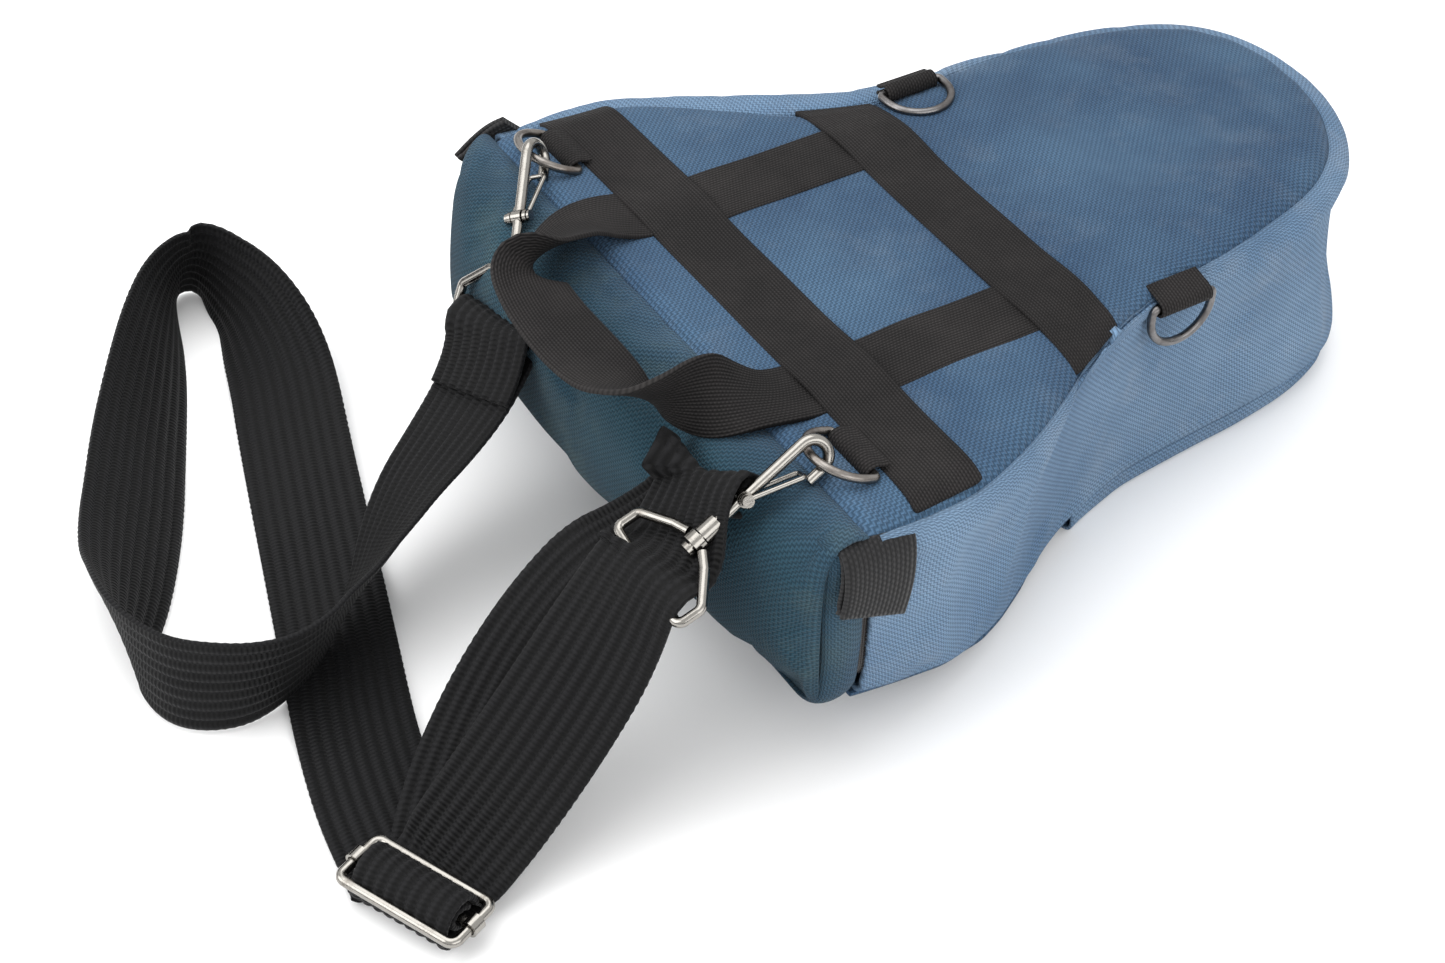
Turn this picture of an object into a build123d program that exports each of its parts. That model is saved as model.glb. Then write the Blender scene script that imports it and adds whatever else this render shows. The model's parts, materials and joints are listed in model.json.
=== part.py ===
"""Top-loading holster bag for a reflex camera, with its carry handle and shoulder strap.

The bag lies on its front with the back panel up. +X runs from the hinged lid to the
round lens end, +Z is up, and the ground is Z = 0. All sizes are in millimetres.
"""

import math
import os

from build123d import *

os.makedirs("parts", exist_ok=True)

# ---------------------------------------------------------------- driving dimensions
WEB = 25.0            # bands, back straps, carry handle and grip tabs
RING_WEB = 20.0       # webbing that holds the D-rings
STRAP_WEB = 38.0      # shoulder strap width
STRAP_T = 2.4         # shoulder strap thickness
WEB_T = 2.0           # thickness of the sewn webbing

TOP_Z = 90.0          # outside of the back panel
BACK_T = 5.0          # back panel: canvas, foam and lining
BACK_Z = TOP_Z - BACK_T
FRONT_T = 3.0         # front panel
POCKET_H = 7.0        # depth of the front pocket below the front panel
CANVAS_T = 2.0        # side walls
CLEAR = 0.3           # clearance between pieces that don't touch

LENS_X = 158.0        # far point of the round lens end
LENS_R = 56.0         # radius of the lens end
LENS_CX = LENS_X - LENS_R
HALF_W = 113.0        # half width at the lid
SIDE = [(-107.5, HALF_W), (-80, 112.4), (-52, 106), (-22, 90), (0, 77.5), (25, 66.5), (60, 59.5),
        (LENS_CX, LENS_R)]

HINGE_X = -115.5      # stitch line that the lid folds on
ZIP_X = -110.0        # middle of the lid's zip
MOUTH_X = -107.5      # edge of the body at the zip
LID_X = -128.0        # seam between the lid's wall and its end panel
LID_DOME = 11.4       # how far the end panel bulges past that seam
LID_Z = 22.0          # underside of the lid
LID_CORNER = 12.0
FLAT_X = -45.0        # the front panel is level from here to the lens end
MOUTH_FRONT_Z = 23.5  # top of the front panel at the mouth
FRONT_Z = POCKET_H + FRONT_T
PAD_X = -96.0         # where padding and lining start, behind the zip tape

BAND_UPPER_X = -85.5  # middle of the band near the lid
BAND_LOWER_X = -7.5   # middle of the band nearer the lens end
STRAP_FAR_Y = 42.0
STRAP_NEAR_Y = -54.0
HANDLE_Z = 96.2       # middle of the carry handle's thickness

RING_WIRE = 1.4       # wire radius of the D-rings
RING_HALF = 12.0      # half width of a D-ring, wire centre to wire centre
RING_LEG = 4.0        # straight part of a D-ring's sides
LOOP_IN = 1.85        # inner radius of the webbing round a ring's bar
LOOP_OUT = 3.05
BAR_UP = TOP_Z + LOOP_OUT + 0.05
UPPER_BAR_X = -101.5
UPPER_RING_Y = 86.0
UPPER_LIFT = {"far": 25.0, "near": 21.0}  # degrees that the hooks lift the upper rings

EYE_R = 5.0           # centre line radius of a snap hook's eye
HOOK_R = 1.8          # wire radius of a snap hook
TIP_A = 5.5           # how far the hook's tip comes back past the eye's centre
STEM_L = 33.0         # from the eye's centre to the swivel barrel
BARREL_L = 6.0
BARREL_R = 3.1
STUD_R = 1.3
STUD_L = 4.6
COLLAR_A = STEM_L + BARREL_L + 2.2   # middle of the strap ring's collar, along the stem
PIN_A = 23.0          # place of the gate's rivet along the stem
PIN_R = 1.0
GATE_R = 0.8
GATE_A = 5.6          # where the closed gate's end bar is
GATE_B = 7.0
GATE_HALF = 3.0
STRAP_RING_R = 1.6    # wire radius of the ring that holds the strap
STRAP_RING_HALF = 20.8

CORD_R = 5.4          # round tube with the same section as the flat shoulder strap
FRAME_HALF_U = 21.0   # slide adjuster, wire centre, across the strap
FRAME_HALF_V = 9.0    # and along it
FRAME_R = 1.6
BAR_R = 1.5
SLIDER_Z = 10.0


def finish(piece, name):
    """Label one finished piece and write it to its own STEP file."""
    piece.part.label = name
    export_step(piece.part, f"parts/{name}.step")


# ---------------------------------------------------------------- shared outlines
def bag_face(inset, mouth_x):
    """The bag seen from above, moved in by inset, cut straight at mouth_x."""
    side = [(x, y - inset) for x, y in SIDE]
    other = [(x, -y) for x, y in reversed(side)]
    far_left = -220
    with BuildSketch() as face:
        with BuildLine():
            Line((far_left, side[0][1]), side[0])
            Spline(side, tangents=[(1, 0), (1, 0)])
            ThreePointArc(side[-1], (LENS_X - inset, 0), other[0])
            Spline(other, tangents=[(-1, 0), (-1, 0)])
            Polyline(other[-1], (far_left, other[-1][1]), (far_left, side[0][1]))
        make_face()
        with Locations((mouth_x - 200, 0)):
            Rectangle(400, 300, mode=Mode.SUBTRACT)
    return face.sketch


def side_region(points):
    """A profile in the XZ plane, as wide as the bag and more."""
    with BuildPart() as region:
        with BuildSketch(Plane.XZ):
            with BuildLine():
                Polyline(*points, close=True)
            make_face()
        extrude(amount=HALF_W + 20, both=True)
    return region.part


def inner_points(gap):
    """The space inside the bag seen from the side, with a gap to both panels."""
    return [(MOUTH_X - 50, MOUTH_FRONT_Z + gap), (MOUTH_X, MOUTH_FRONT_Z + gap), (FLAT_X, FRONT_Z + gap),
            (LENS_X + 20, FRONT_Z + gap), (LENS_X + 20, BACK_Z - gap), (MOUTH_X - 50, BACK_Z - gap)]


def wall(outer, inner, mouth_x, points):
    """A wall that follows the outline, between two insets, inside a side profile."""
    with BuildPart() as ring:
        with BuildSketch():
            add(bag_face(outer, mouth_x))
            add(bag_face(inner, mouth_x - 60), mode=Mode.SUBTRACT)
        extrude(amount=TOP_Z)
        add(side_region(points), mode=Mode.INTERSECT)
    return ring


# ---------------------------------------------------------------- body of the bag
with BuildPart() as back_panel:
    with BuildSketch(Plane.XY.offset(BACK_Z)):
        add(bag_face(0, HINGE_X))
    extrude(amount=BACK_T)
finish(back_panel, "back_panel")

body_gusset = wall(0, CANVAS_T, MOUTH_X, inner_points(0))
finish(body_gusset, "body_gusset")

front_points = [(MOUTH_X, MOUTH_FRONT_Z - FRONT_T), (-66, 11.5), (-58, 0), (-28, 0), (-24, POCKET_H),
                (LENS_X + 5, POCKET_H), (LENS_X + 5, FRONT_Z), (FLAT_X, FRONT_Z), (MOUTH_X, MOUTH_FRONT_Z)]
with BuildPart() as front_panel:
    with BuildSketch():
        add(bag_face(0, MOUTH_X))
    extrude(amount=TOP_Z)
    add(side_region(front_points), mode=Mode.INTERSECT)
finish(front_panel, "front_panel")

PAD_T = 4.7
body_padding = wall(CANVAS_T + CLEAR, CANVAS_T + CLEAR + PAD_T, PAD_X, inner_points(CLEAR))
finish(body_padding, "body_padding")

LINING_IN = CANVAS_T + PAD_T + 2 * CLEAR
LINING_T = 1.2
with BuildPart() as cavity:
    with BuildSketch():
        add(bag_face(LINING_IN + LINING_T, PAD_X - 60))
    extrude(amount=TOP_Z)
    add(side_region(inner_points(CLEAR + LINING_T)), mode=Mode.INTERSECT)
with BuildPart() as body_lining:
    with BuildSketch():
        add(bag_face(LINING_IN, PAD_X))
    extrude(amount=TOP_Z)
    add(side_region(inner_points(CLEAR)), mode=Mode.INTERSECT)
    add(cavity.part, mode=Mode.SUBTRACT)
finish(body_lining, "body_lining")

LENS_PAD_X = 134.0
with BuildPart() as lens_end_pad:
    with BuildSketch(Plane.XY.offset(FRONT_Z + 2.5)):
        add(bag_face(LINING_IN + LINING_T + CLEAR, PAD_X))
        with Locations((LENS_PAD_X - 200, 0)):
            Rectangle(400, 300, mode=Mode.SUBTRACT)
    extrude(amount=BACK_Z - FRONT_Z - 5)
finish(lens_end_pad, "lens_end_pad")

# ---------------------------------------------------------------- front pocket, under the lens half
POCKET_X = 4.0
POCKET_IN = 4.0
with BuildPart() as pocket_panel:
    with BuildSketch():
        add(bag_face(POCKET_IN, MOUTH_X))
        with Locations((POCKET_X - 200, 0)):
            Rectangle(400, 300, mode=Mode.SUBTRACT)
    extrude(amount=2)
finish(pocket_panel, "pocket_panel")

pocket_box = [(POCKET_X, 2), (LENS_X + 5, 2), (LENS_X + 5, POCKET_H), (POCKET_X, POCKET_H)]
pocket_gusset = wall(POCKET_IN, POCKET_IN + 1.5, MOUTH_X, pocket_box)
finish(pocket_gusset, "pocket_gusset")

POCKET_ZIP_HALF = 62.0
with BuildPart() as pocket_zip_tape:
    with BuildSketch(Plane.XZ.offset(-POCKET_ZIP_HALF)):
        with Locations((POCKET_X - 0.5, 3.1), (POCKET_X - 0.5, 6.0)):
            Rectangle(1, 2)
    extrude(amount=2 * POCKET_ZIP_HALF)
finish(pocket_zip_tape, "pocket_zip_tape")

with BuildPart() as pocket_zip_coil:
    with BuildSketch(Plane.XZ.offset(-POCKET_ZIP_HALF + 2)):
        with Locations((POCKET_X - 1.7, 4.6)):
            Rectangle(1.4, 1.4)
    extrude(amount=2 * POCKET_ZIP_HALF - 4)
finish(pocket_zip_coil, "pocket_zip_coil")

POCKET_SLIDER_Y = 52.0
PULL_BAR = 0.6
PULL_EYE = 1.0
with BuildPart() as pocket_zip_slider:
    with BuildSketch(Plane.XZ.offset(-POCKET_SLIDER_Y - 5)):
        with BuildLine():
            Polyline((0.4, 2.9), (2.8, 2.9), (2.8, 3.5), (1.2, 3.5), (1.2, 5.7), (2.8, 5.7), (2.8, 6.3),
                     (0.4, 6.3), close=True)
        make_face()
    extrude(amount=10)
    with BuildSketch(Plane.XY.offset(2.9)):
        with Locations((-0.7, POCKET_SLIDER_Y)):
            Rectangle(2.4, 1.6)
    extrude(amount=0.8)
    with BuildSketch(Plane.XY.offset(5.5)):
        with Locations((-0.7, POCKET_SLIDER_Y)):
            Rectangle(2.4, 1.6)
    extrude(amount=0.8)
    with BuildSketch(Plane.XY.offset(3.2)):
        with Locations((-1.3, POCKET_SLIDER_Y)):
            Circle(PULL_BAR)
    extrude(amount=2.6)
finish(pocket_zip_slider, "pocket_zip_slider")

with BuildPart() as pocket_zip_pull:
    with BuildSketch(Plane.XY.offset(4.0)):
        with Locations((-1.3, POCKET_SLIDER_Y)):
            Circle(1.5)
        with BuildLine():
            Polyline((-2.4, POCKET_SLIDER_Y - 1), (-0.2, POCKET_SLIDER_Y - 1), (0, POCKET_SLIDER_Y - 6),
                     (0, POCKET_SLIDER_Y - 18), (-2.6, POCKET_SLIDER_Y - 18), (-2.6, POCKET_SLIDER_Y - 6), close=True)
        make_face()
        with Locations((-1.3, POCKET_SLIDER_Y)):
            Circle(PULL_EYE, mode=Mode.SUBTRACT)
    extrude(amount=1.2)
finish(pocket_zip_pull, "pocket_zip_pull")

# ---------------------------------------------------------------- lid
# Seen along X, the lid is a flat-topped shape with two rounded lower corners.
OUTWARD = Plane(origin=(LID_X, 0, 0), x_dir=(0, -1, 0), z_dir=(-1, 0, 0))


def lid_face(inset, top_z):
    """The lid's outline, moved in by inset and cut level at top_z, drawn across and up."""
    half = HALF_W - inset
    low = LID_Z + inset
    with BuildSketch() as face:
        with BuildLine():
            Polyline((-half, top_z), (-half, low), (half, low), (half, top_z), close=True)
        make_face()
        fillet(face.vertices().group_by(Axis.Y)[0], LID_CORNER - min(inset, 6))
    return face.sketch


def lid_wall(outer, inner, x_from, x_to, top_z):
    """A wall round the lid's sides and underside, open at the top, between two X places."""
    with BuildPart() as ring:
        with BuildSketch(Plane.YZ.offset(x_from)):
            add(lid_face(outer, top_z))
            add(lid_face(inner, top_z + 20), mode=Mode.SUBTRACT)
        extrude(amount=x_to - x_from)
    return ring


with BuildPart() as lid_hinge_strip:
    with BuildSketch(Plane.XY.offset(BACK_Z)):
        with Locations(((LID_X + HINGE_X) / 2 - CLEAR / 2, 0)):
            Rectangle(HINGE_X - LID_X - CLEAR, 2 * HALF_W)
    extrude(amount=BACK_T)
finish(lid_hinge_strip, "lid_hinge_strip")

lid_gusset = lid_wall(0, CANVAS_T, LID_X, ZIP_X - 2.5, BACK_Z)
finish(lid_gusset, "lid_gusset")

SHELL_T = 3.0
with BuildPart() as dome_inside:
    with BuildSketch(OUTWARD):
        add(lid_face(SHELL_T, TOP_Z - SHELL_T))
    extrude(amount=LID_DOME - SHELL_T, taper=50)
with BuildPart() as lid_end_panel:
    with BuildSketch(OUTWARD):
        add(lid_face(0, TOP_Z))
    extrude(amount=LID_DOME, taper=50)
    add(dome_inside.part, mode=Mode.SUBTRACT)
finish(lid_end_panel, "lid_end_panel")

with BuildPart() as lid_padding:
    with BuildSketch(OUTWARD):
        add(lid_face(SHELL_T + 0.6, TOP_Z - SHELL_T - 0.6))
    extrude(amount=LID_DOME - SHELL_T - 0.6, taper=50)
finish(lid_padding, "lid_padding")

with BuildPart() as lid_lining:
    with BuildSketch(Plane.YZ.offset(LID_X + CLEAR)):
        add(lid_face(4, BACK_Z - CLEAR))
    extrude(amount=1.2)
finish(lid_lining, "lid_lining")

# The lid's zip: a tape and a coil on the lid, and the same on the body.
TAPE_TOP = BACK_Z - 0.5
COIL_GAP = 0.7        # half the gap between the two coils, where the slider's neck runs
lid_zip_tape = lid_wall(2.3, 3.3, ZIP_X - 13, ZIP_X - 1.4, TAPE_TOP)
finish(lid_zip_tape, "lid_zip_tape")
lid_zip_coil = lid_wall(2.1, 3.7, ZIP_X - 1.4, ZIP_X - COIL_GAP, TAPE_TOP)
finish(lid_zip_coil, "lid_zip_coil")
body_zip_coil = lid_wall(2.1, 3.7, ZIP_X + COIL_GAP, ZIP_X + 1.4, TAPE_TOP)
finish(body_zip_coil, "body_zip_coil")
body_zip_tape = lid_wall(2.3, 3.3, ZIP_X + 1.4, ZIP_X + 12.6, TAPE_TOP)
finish(body_zip_tape, "body_zip_tape")

# The slider's two plates pass inside and outside the coils, joined by a neck in the gap.
ZIP_SLIDER_Z = 54.0
PULL_Y = HALF_W + 3.4
with BuildPart() as lid_zip_slider:
    with BuildSketch(Plane.XY.offset(ZIP_SLIDER_Z - 5)):
        with Locations((ZIP_X, HALF_W + 0.9)):
            Rectangle(7, 1.2)
        with Locations((ZIP_X, HALF_W - 5.0)):
            Rectangle(7, 1.2)
    extrude(amount=10)
    with BuildSketch(Plane.XY.offset(ZIP_SLIDER_Z - 2)):
        with Locations((ZIP_X, HALF_W - 2)):
            Rectangle(0.8, 7)
    extrude(amount=7)
    with BuildSketch(Plane.YZ.offset(ZIP_X - 3.4)):
        with Locations((HALF_W + 2.6, ZIP_SLIDER_Z + 2)):
            Rectangle(2.8, 1.6)
    extrude(amount=1)
    with BuildSketch(Plane.YZ.offset(ZIP_X + 2.4)):
        with Locations((HALF_W + 2.6, ZIP_SLIDER_Z + 2)):
            Rectangle(2.8, 1.6)
    extrude(amount=1)
    with BuildSketch(Plane.YZ.offset(ZIP_X - 3)):
        with Locations((PULL_Y, ZIP_SLIDER_Z + 2)):
            Circle(PULL_BAR)
    extrude(amount=6)
finish(lid_zip_slider, "lid_zip_slider")

with BuildPart() as lid_zip_pull:
    with BuildSketch(Plane.YZ.offset(ZIP_X - 2)):
        with Locations((PULL_Y, ZIP_SLIDER_Z + 2)):
            Circle(1.6)
        with Locations((PULL_Y, ZIP_SLIDER_Z - 10)):
            Rectangle(1.4, 22)
        with Locations((PULL_Y, ZIP_SLIDER_Z + 2)):
            Circle(PULL_EYE, mode=Mode.SUBTRACT)
    extrude(amount=4)
finish(lid_zip_pull, "lid_zip_pull")

# ---------------------------------------------------------------- grip tabs at the zip's ends
TAB_X = -124.5
TAB_OUT = PULL_Y + 1.6
for side, sign in (("near", -1), ("far", 1)):
    with BuildPart() as tab:
        with BuildSketch(Plane.YZ.offset(TAB_X)) as fold:
            with Locations((sign * (HALF_W + 0.3 + TAB_OUT) / 2, 73)):
                Rectangle(TAB_OUT - HALF_W - 0.3, 24)
                Rectangle(TAB_OUT - HALF_W - 2.9, 20.4, mode=Mode.SUBTRACT)
        extrude(amount=WEB)
    finish(tab, f"grip_tab_{side}")

# ---------------------------------------------------------------- webbing on the back panel
for name, middle_x in (("band_upper", BAND_UPPER_X), ("band_lower", BAND_LOWER_X)):
    with BuildPart() as band:
        with BuildSketch(Plane.XY.offset(TOP_Z)):
            add(bag_face(0.4, HINGE_X))
            with Locations((middle_x, 0)):
                Rectangle(WEB, 3 * HALF_W, mode=Mode.INTERSECT)
        extrude(amount=WEB_T)
    finish(band, name)

BETWEEN = BAND_LOWER_X - BAND_UPPER_X - WEB
for name, middle_y in (("back_strap_far", STRAP_FAR_Y), ("back_strap_near", STRAP_NEAR_Y)):
    with BuildPart() as strap:
        with BuildSketch(Plane.XY.offset(TOP_Z)):
            with Locations(((BAND_LOWER_X + BAND_UPPER_X) / 2, middle_y)):
                Rectangle(BETWEEN, WEB)
        extrude(amount=WEB_T)
    finish(strap, name)

# The carry handle leaves the upper band at one back strap and comes back at the other.
HANDLE_X = BAND_UPPER_X - WEB / 2
HANDLE_REACH = -145.5
with BuildPart() as carry_handle:
    with BuildSketch(Plane.XY.offset(HANDLE_Z - WEB_T / 2)):
        with BuildLine():
            FilletPolyline((HANDLE_X, STRAP_FAR_Y), (HANDLE_REACH, STRAP_FAR_Y), (HANDLE_REACH, STRAP_NEAR_Y),
                           (HANDLE_X, STRAP_NEAR_Y), radius=20)
        trace(line_width=WEB)
    extrude(amount=WEB_T)
finish(carry_handle, "carry_handle")

# ---------------------------------------------------------------- D-rings and their webbing loops
def d_ring(centre, bar_dir, arc_dir):
    """A D-ring: straight bar at the centre along bar_dir, arc towards arc_dir."""
    bar = Vector(*bar_dir)
    arc = Vector(*arc_dir)
    plane = Plane(origin=centre, x_dir=bar, z_dir=bar.cross(arc))
    middle = Plane(origin=centre, x_dir=arc, z_dir=bar)
    with BuildPart() as ring:
        with BuildLine(plane):
            FilletPolyline((0, 0), (RING_HALF, 0), (RING_HALF, RING_LEG), radius=1.7)
            CenterArc((0, RING_LEG), RING_HALF, 0, 90)
        with BuildSketch(middle):
            Circle(RING_WIRE)
        sweep()
        mirror(about=middle)
    return ring


def ring_loop(centre, bar_dir, tail_dir, tail_length, tail_low):
    """Webbing folded round a ring's bar, with a flat tail to the seam or band."""
    bar = Vector(*bar_dir)
    tail = Vector(*tail_dir)
    plane = Plane(origin=centre, x_dir=tail, z_dir=bar)
    down = -1 if plane.y_dir.Z > 0.5 or plane.y_dir.Y > 0.5 else 1
    with BuildPart() as loop:
        with BuildSketch(plane):
            Circle(LOOP_OUT)
            with Locations((tail_length / 2, down * (tail_low - 1.0))):
                Rectangle(tail_length, 2.0)
            Circle(LOOP_IN, mode=Mode.SUBTRACT)
        extrude(amount=RING_WEB / 2, both=True)
    return loop


LOWER_FAR = (20, 61.5, BAR_UP)
LOWER_NEAR = (34, -70.6, 86)
lift = {side: math.radians(angle) for side, angle in UPPER_LIFT.items()}
lifted = {side: (-math.cos(angle), 0, math.sin(angle)) for side, angle in lift.items()}
rings = {
    "upper_far": ((UPPER_BAR_X, UPPER_RING_Y, BAR_UP), (0, 1, 0), lifted["far"]),
    "upper_near": ((UPPER_BAR_X, -UPPER_RING_Y, BAR_UP), (0, 1, 0), lifted["near"]),
    "lower_far": (LOWER_FAR, (1, 0, 0), (0, -1, 0)),
    "lower_near": (LOWER_NEAR, (1, 0, 0), (0, 0, -1)),
}
for name, (centre, bar_dir, arc_dir) in rings.items():
    finish(d_ring(centre, bar_dir, arc_dir), f"d_ring_{name}")

loops = {
    "upper_far": ((1, 0, 0), UPPER_BAR_X * -1 - 98.0, LOOP_OUT),
    "upper_near": ((1, 0, 0), UPPER_BAR_X * -1 - 98.0, LOOP_OUT),
    "lower_far": ((0, 1, 0), 5.0, LOOP_OUT),
    "lower_near": ((0, 1, 0), 3.2, 1.0),
}
for name, (tail_dir, tail_length, tail_low) in loops.items():
    centre, bar_dir, _ = rings[name]
    finish(ring_loop(centre, bar_dir, tail_dir, tail_length, tail_low), f"ring_loop_{name}")

# ---------------------------------------------------------------- snap hooks and the rings that hold the strap
# Each hook's eye holds the arc of an upper D-ring. Its stem points at the strap ring's collar.
HOOK_ON_ARC = {"far": -6.0, "near": 0.0}     # where on the ring's arc the hook sits
COLLAR_AT = {"far": (-140.4, 49.4, 82.0), "near": (-155.7, -86.5, 84.0)}
OPENING = {"far": (0.63, 0.0, -0.78), "near": (0.37, -0.50, -0.79)}
STRAP_BAR_AT = {"far": (-148.4, 46.1, 66.5), "near": (-170.5, -84.5, 76.5)}
STRAP_BAR_DIR = {"far": (-0.16, 0.96, -0.15), "near": (0.0, -1.0, 0.0)}


def hook_frame(side):
    """Origin on the stem beside the eye, the stem's direction and the opening's direction."""
    ring_y = UPPER_RING_Y if side == "far" else -UPPER_RING_Y
    shift = HOOK_ON_ARC[side]
    reach = RING_LEG + math.sqrt(RING_HALF**2 - shift**2)
    eye = Vector(UPPER_BAR_X, ring_y + shift, BAR_UP) + Vector(*lifted[side]) * reach
    opening = Vector(*OPENING[side]).normalized()
    origin = eye - opening * EYE_R
    stem = (Vector(*COLLAR_AT[side]) - origin).normalized()
    opening = (opening - stem * opening.dot(stem)).normalized()
    return eye - opening * EYE_R, stem, opening


def rod(start, direction, length, radius, bore=0.0):
    """A cylinder, bored through if a bore is given."""
    with BuildPart(mode=Mode.PRIVATE) as piece:
        with BuildSketch(Plane(origin=start, z_dir=direction)):
            Circle(radius)
            if bore > 0:
                Circle(bore, mode=Mode.SUBTRACT)
        extrude(amount=length)
    return piece.part


for side in ("far", "near"):
    origin, stem, opening = hook_frame(side)
    across = stem.cross(opening)
    plane = Plane(origin=origin, x_dir=stem, z_dir=across)
    pin_at = origin + stem * PIN_A
    with BuildPart() as hook:
        with BuildLine(plane):
            Line((STEM_L + 1, 0), (0, 0))
            ThreePointArc((0, 0), (-EYE_R, EYE_R), (0, 2 * EYE_R))
            Line((0, 2 * EYE_R), (TIP_A, 2 * EYE_R))
        with BuildSketch(Plane(origin=origin + stem * (STEM_L + 1), z_dir=-stem)):
            Circle(HOOK_R)
        sweep()
        add(rod(pin_at - across * HOOK_R, across, 2 * HOOK_R, 2.4))
        add(rod(origin + stem * STEM_L, stem, BARREL_L, BARREL_R))
        add(rod(origin + stem * (STEM_L + BARREL_L), stem, STUD_L, STUD_R))
        add(rod(origin + stem * (STEM_L + BARREL_L + STUD_L), stem, 1.5, 2.4))
        add(rod(pin_at - across * 5, across, 10, PIN_R), mode=Mode.SUBTRACT)
    finish(hook, f"hook_{side}")

    with BuildPart() as rivet:
        add(rod(pin_at - across * 4.0, across, 8.0, PIN_R))
        add(rod(pin_at - across * 4.7, across, 0.8, 1.8))
        add(rod(pin_at + across * 3.9, across, 0.8, 1.8))
    finish(rivet, f"hook_rivet_{side}")

    to_end = Vector(GATE_A - PIN_A, GATE_B, 0).normalized()
    leg_start = (PIN_A + 1.7 * to_end.X, 1.7 * to_end.Y)
    with BuildPart() as gate:
        with BuildLine() as gate_path:
            ends = []
            for level in (GATE_HALF, -GATE_HALF):
                start = plane.from_local_coords((leg_start[0], leg_start[1], level))
                end = plane.from_local_coords((GATE_A, GATE_B, level))
                ends += [start, end] if level > 0 else [end, start]
            FilletPolyline(*ends, radius=1.4)
        with BuildSketch(Plane(origin=ends[0], z_dir=ends[1] - ends[0])):
            Circle(GATE_R)
        sweep()
        for level in (GATE_HALF, -GATE_HALF):
            add(rod(pin_at + across * (level - 0.6), across, 1.2, 2.1))
        add(rod(pin_at - across * 5, across, 10, PIN_R + CLEAR), mode=Mode.SUBTRACT)
    finish(gate, f"hook_gate_{side}")

    collar = origin + stem * COLLAR_A
    bar_at = Vector(*STRAP_BAR_AT[side])
    down = (bar_at - collar).normalized()
    ring_length = (bar_at - collar).length
    along = Vector(*STRAP_BAR_DIR[side])
    along = (along - down * along.dot(down)).normalized()
    plane = Plane(origin=collar, x_dir=along, z_dir=along.cross(down))
    with BuildPart() as strap_ring:
        with BuildLine(plane):
            FilletPolyline((0, ring_length), (STRAP_RING_HALF, ring_length), (STRAP_RING_HALF, ring_length - 8),
                           (10, 2.5), (4.5, 0.2), radius=2.4)
        with BuildSketch(Plane(origin=bar_at, z_dir=along)):
            Circle(STRAP_RING_R)
        sweep()
        mirror(about=Plane(origin=collar, z_dir=along))
        add(rod(collar - stem * 1.7, stem, 3.4, 3.5))
        add(rod(collar - stem * 4, stem, 8, STUD_R + 0.4), mode=Mode.SUBTRACT)
    finish(strap_ring, f"strap_ring_{side}")

# ---------------------------------------------------------------- shoulder strap
FAR_BAR = Vector(*STRAP_BAR_AT["far"])
far_origin, far_stem, _ = hook_frame("far")
far_down = (FAR_BAR - (far_origin + far_stem * COLLAR_A)).normalized()
far_along = Vector(*STRAP_BAR_DIR["far"])
far_along = (far_along - far_down * far_along.dot(far_down)).normalized()
SLEEVE_IN = STRAP_RING_R + CLEAR
with BuildPart() as strap_far_loop:
    add(rod(FAR_BAR - far_along * (STRAP_WEB / 2 - 1.6), far_along, STRAP_WEB - 3.2, SLEEVE_IN + STRAP_T, SLEEVE_IN))
finish(strap_far_loop, "strap_far_loop")

# The centre line of the strap from the far hook, round its loop on the ground, to the adjuster.
ROUTE = [(-151.2, 44.2, 64.2), (-166, 34, 56), (-190, 24, 38), (-217, 5, 25), (-250, -16, 19.5), (-284, -3, 19),
         (-293, 36, 18.5), (-272, 78, 18), (-250, 108, 17.5), (-228, 143, 17), (-213, 165, 16.5), (-204, 178, 16),
         (-194, 186, 15), (-184, 180, 13.5), (-181, 165, 12), (-184, 140, 8.5), (-198, 100, 6), (-213, 55, 5.8),
         (-228, 8, 5.7), (-240, -26, 5.8), (-250, -55, 5.7), (-257, -70, 5.8)]


def bend_radii(route):
    """At every corner 0.45 of the shorter run over the tangent of half the turn."""
    radii = []
    for before, here, after in zip(route, route[1:], route[2:]):
        one = Vector(*here) - Vector(*before)
        two = Vector(*after) - Vector(*here)
        half = math.radians(one.get_angle(two)) / 2
        radii.append(0.45 * min(one.length, two.length) / math.tan(half))
    return radii


radii = bend_radii(ROUTE)
print("strap bend radii", [round(radius, 1) for radius in radii])
with BuildPart() as strap_main:
    with BuildLine() as route_line:
        FilletPolyline(*ROUTE, radius=radii)
    with BuildSketch(Plane(origin=ROUTE[0], z_dir=Vector(*ROUTE[1]) - Vector(*ROUTE[0]))):
        Circle(CORD_R)
    sweep()
finish(strap_main, "strap_main")
route_length = route_line.wire().length
print("strap length", round(route_length, 1), "volume ratio",
      round(strap_main.part.volume / (math.pi * CORD_R**2 * route_length), 4))

# The slide adjuster lies on the ground. Across is u, along the strap and towards the bag is v.
SLIDER_AT = Vector(-257, -103, SLIDER_Z)
ACROSS = Vector(0.4, -0.917, 0).normalized()
ALONG = Vector(0.917, 0.4, 0).normalized()
FLAT = Plane(origin=SLIDER_AT, x_dir=ACROSS, z_dir=(0, 0, 1))
SECTION = Plane(origin=SLIDER_AT, x_dir=ALONG, z_dir=-ACROSS)

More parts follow.
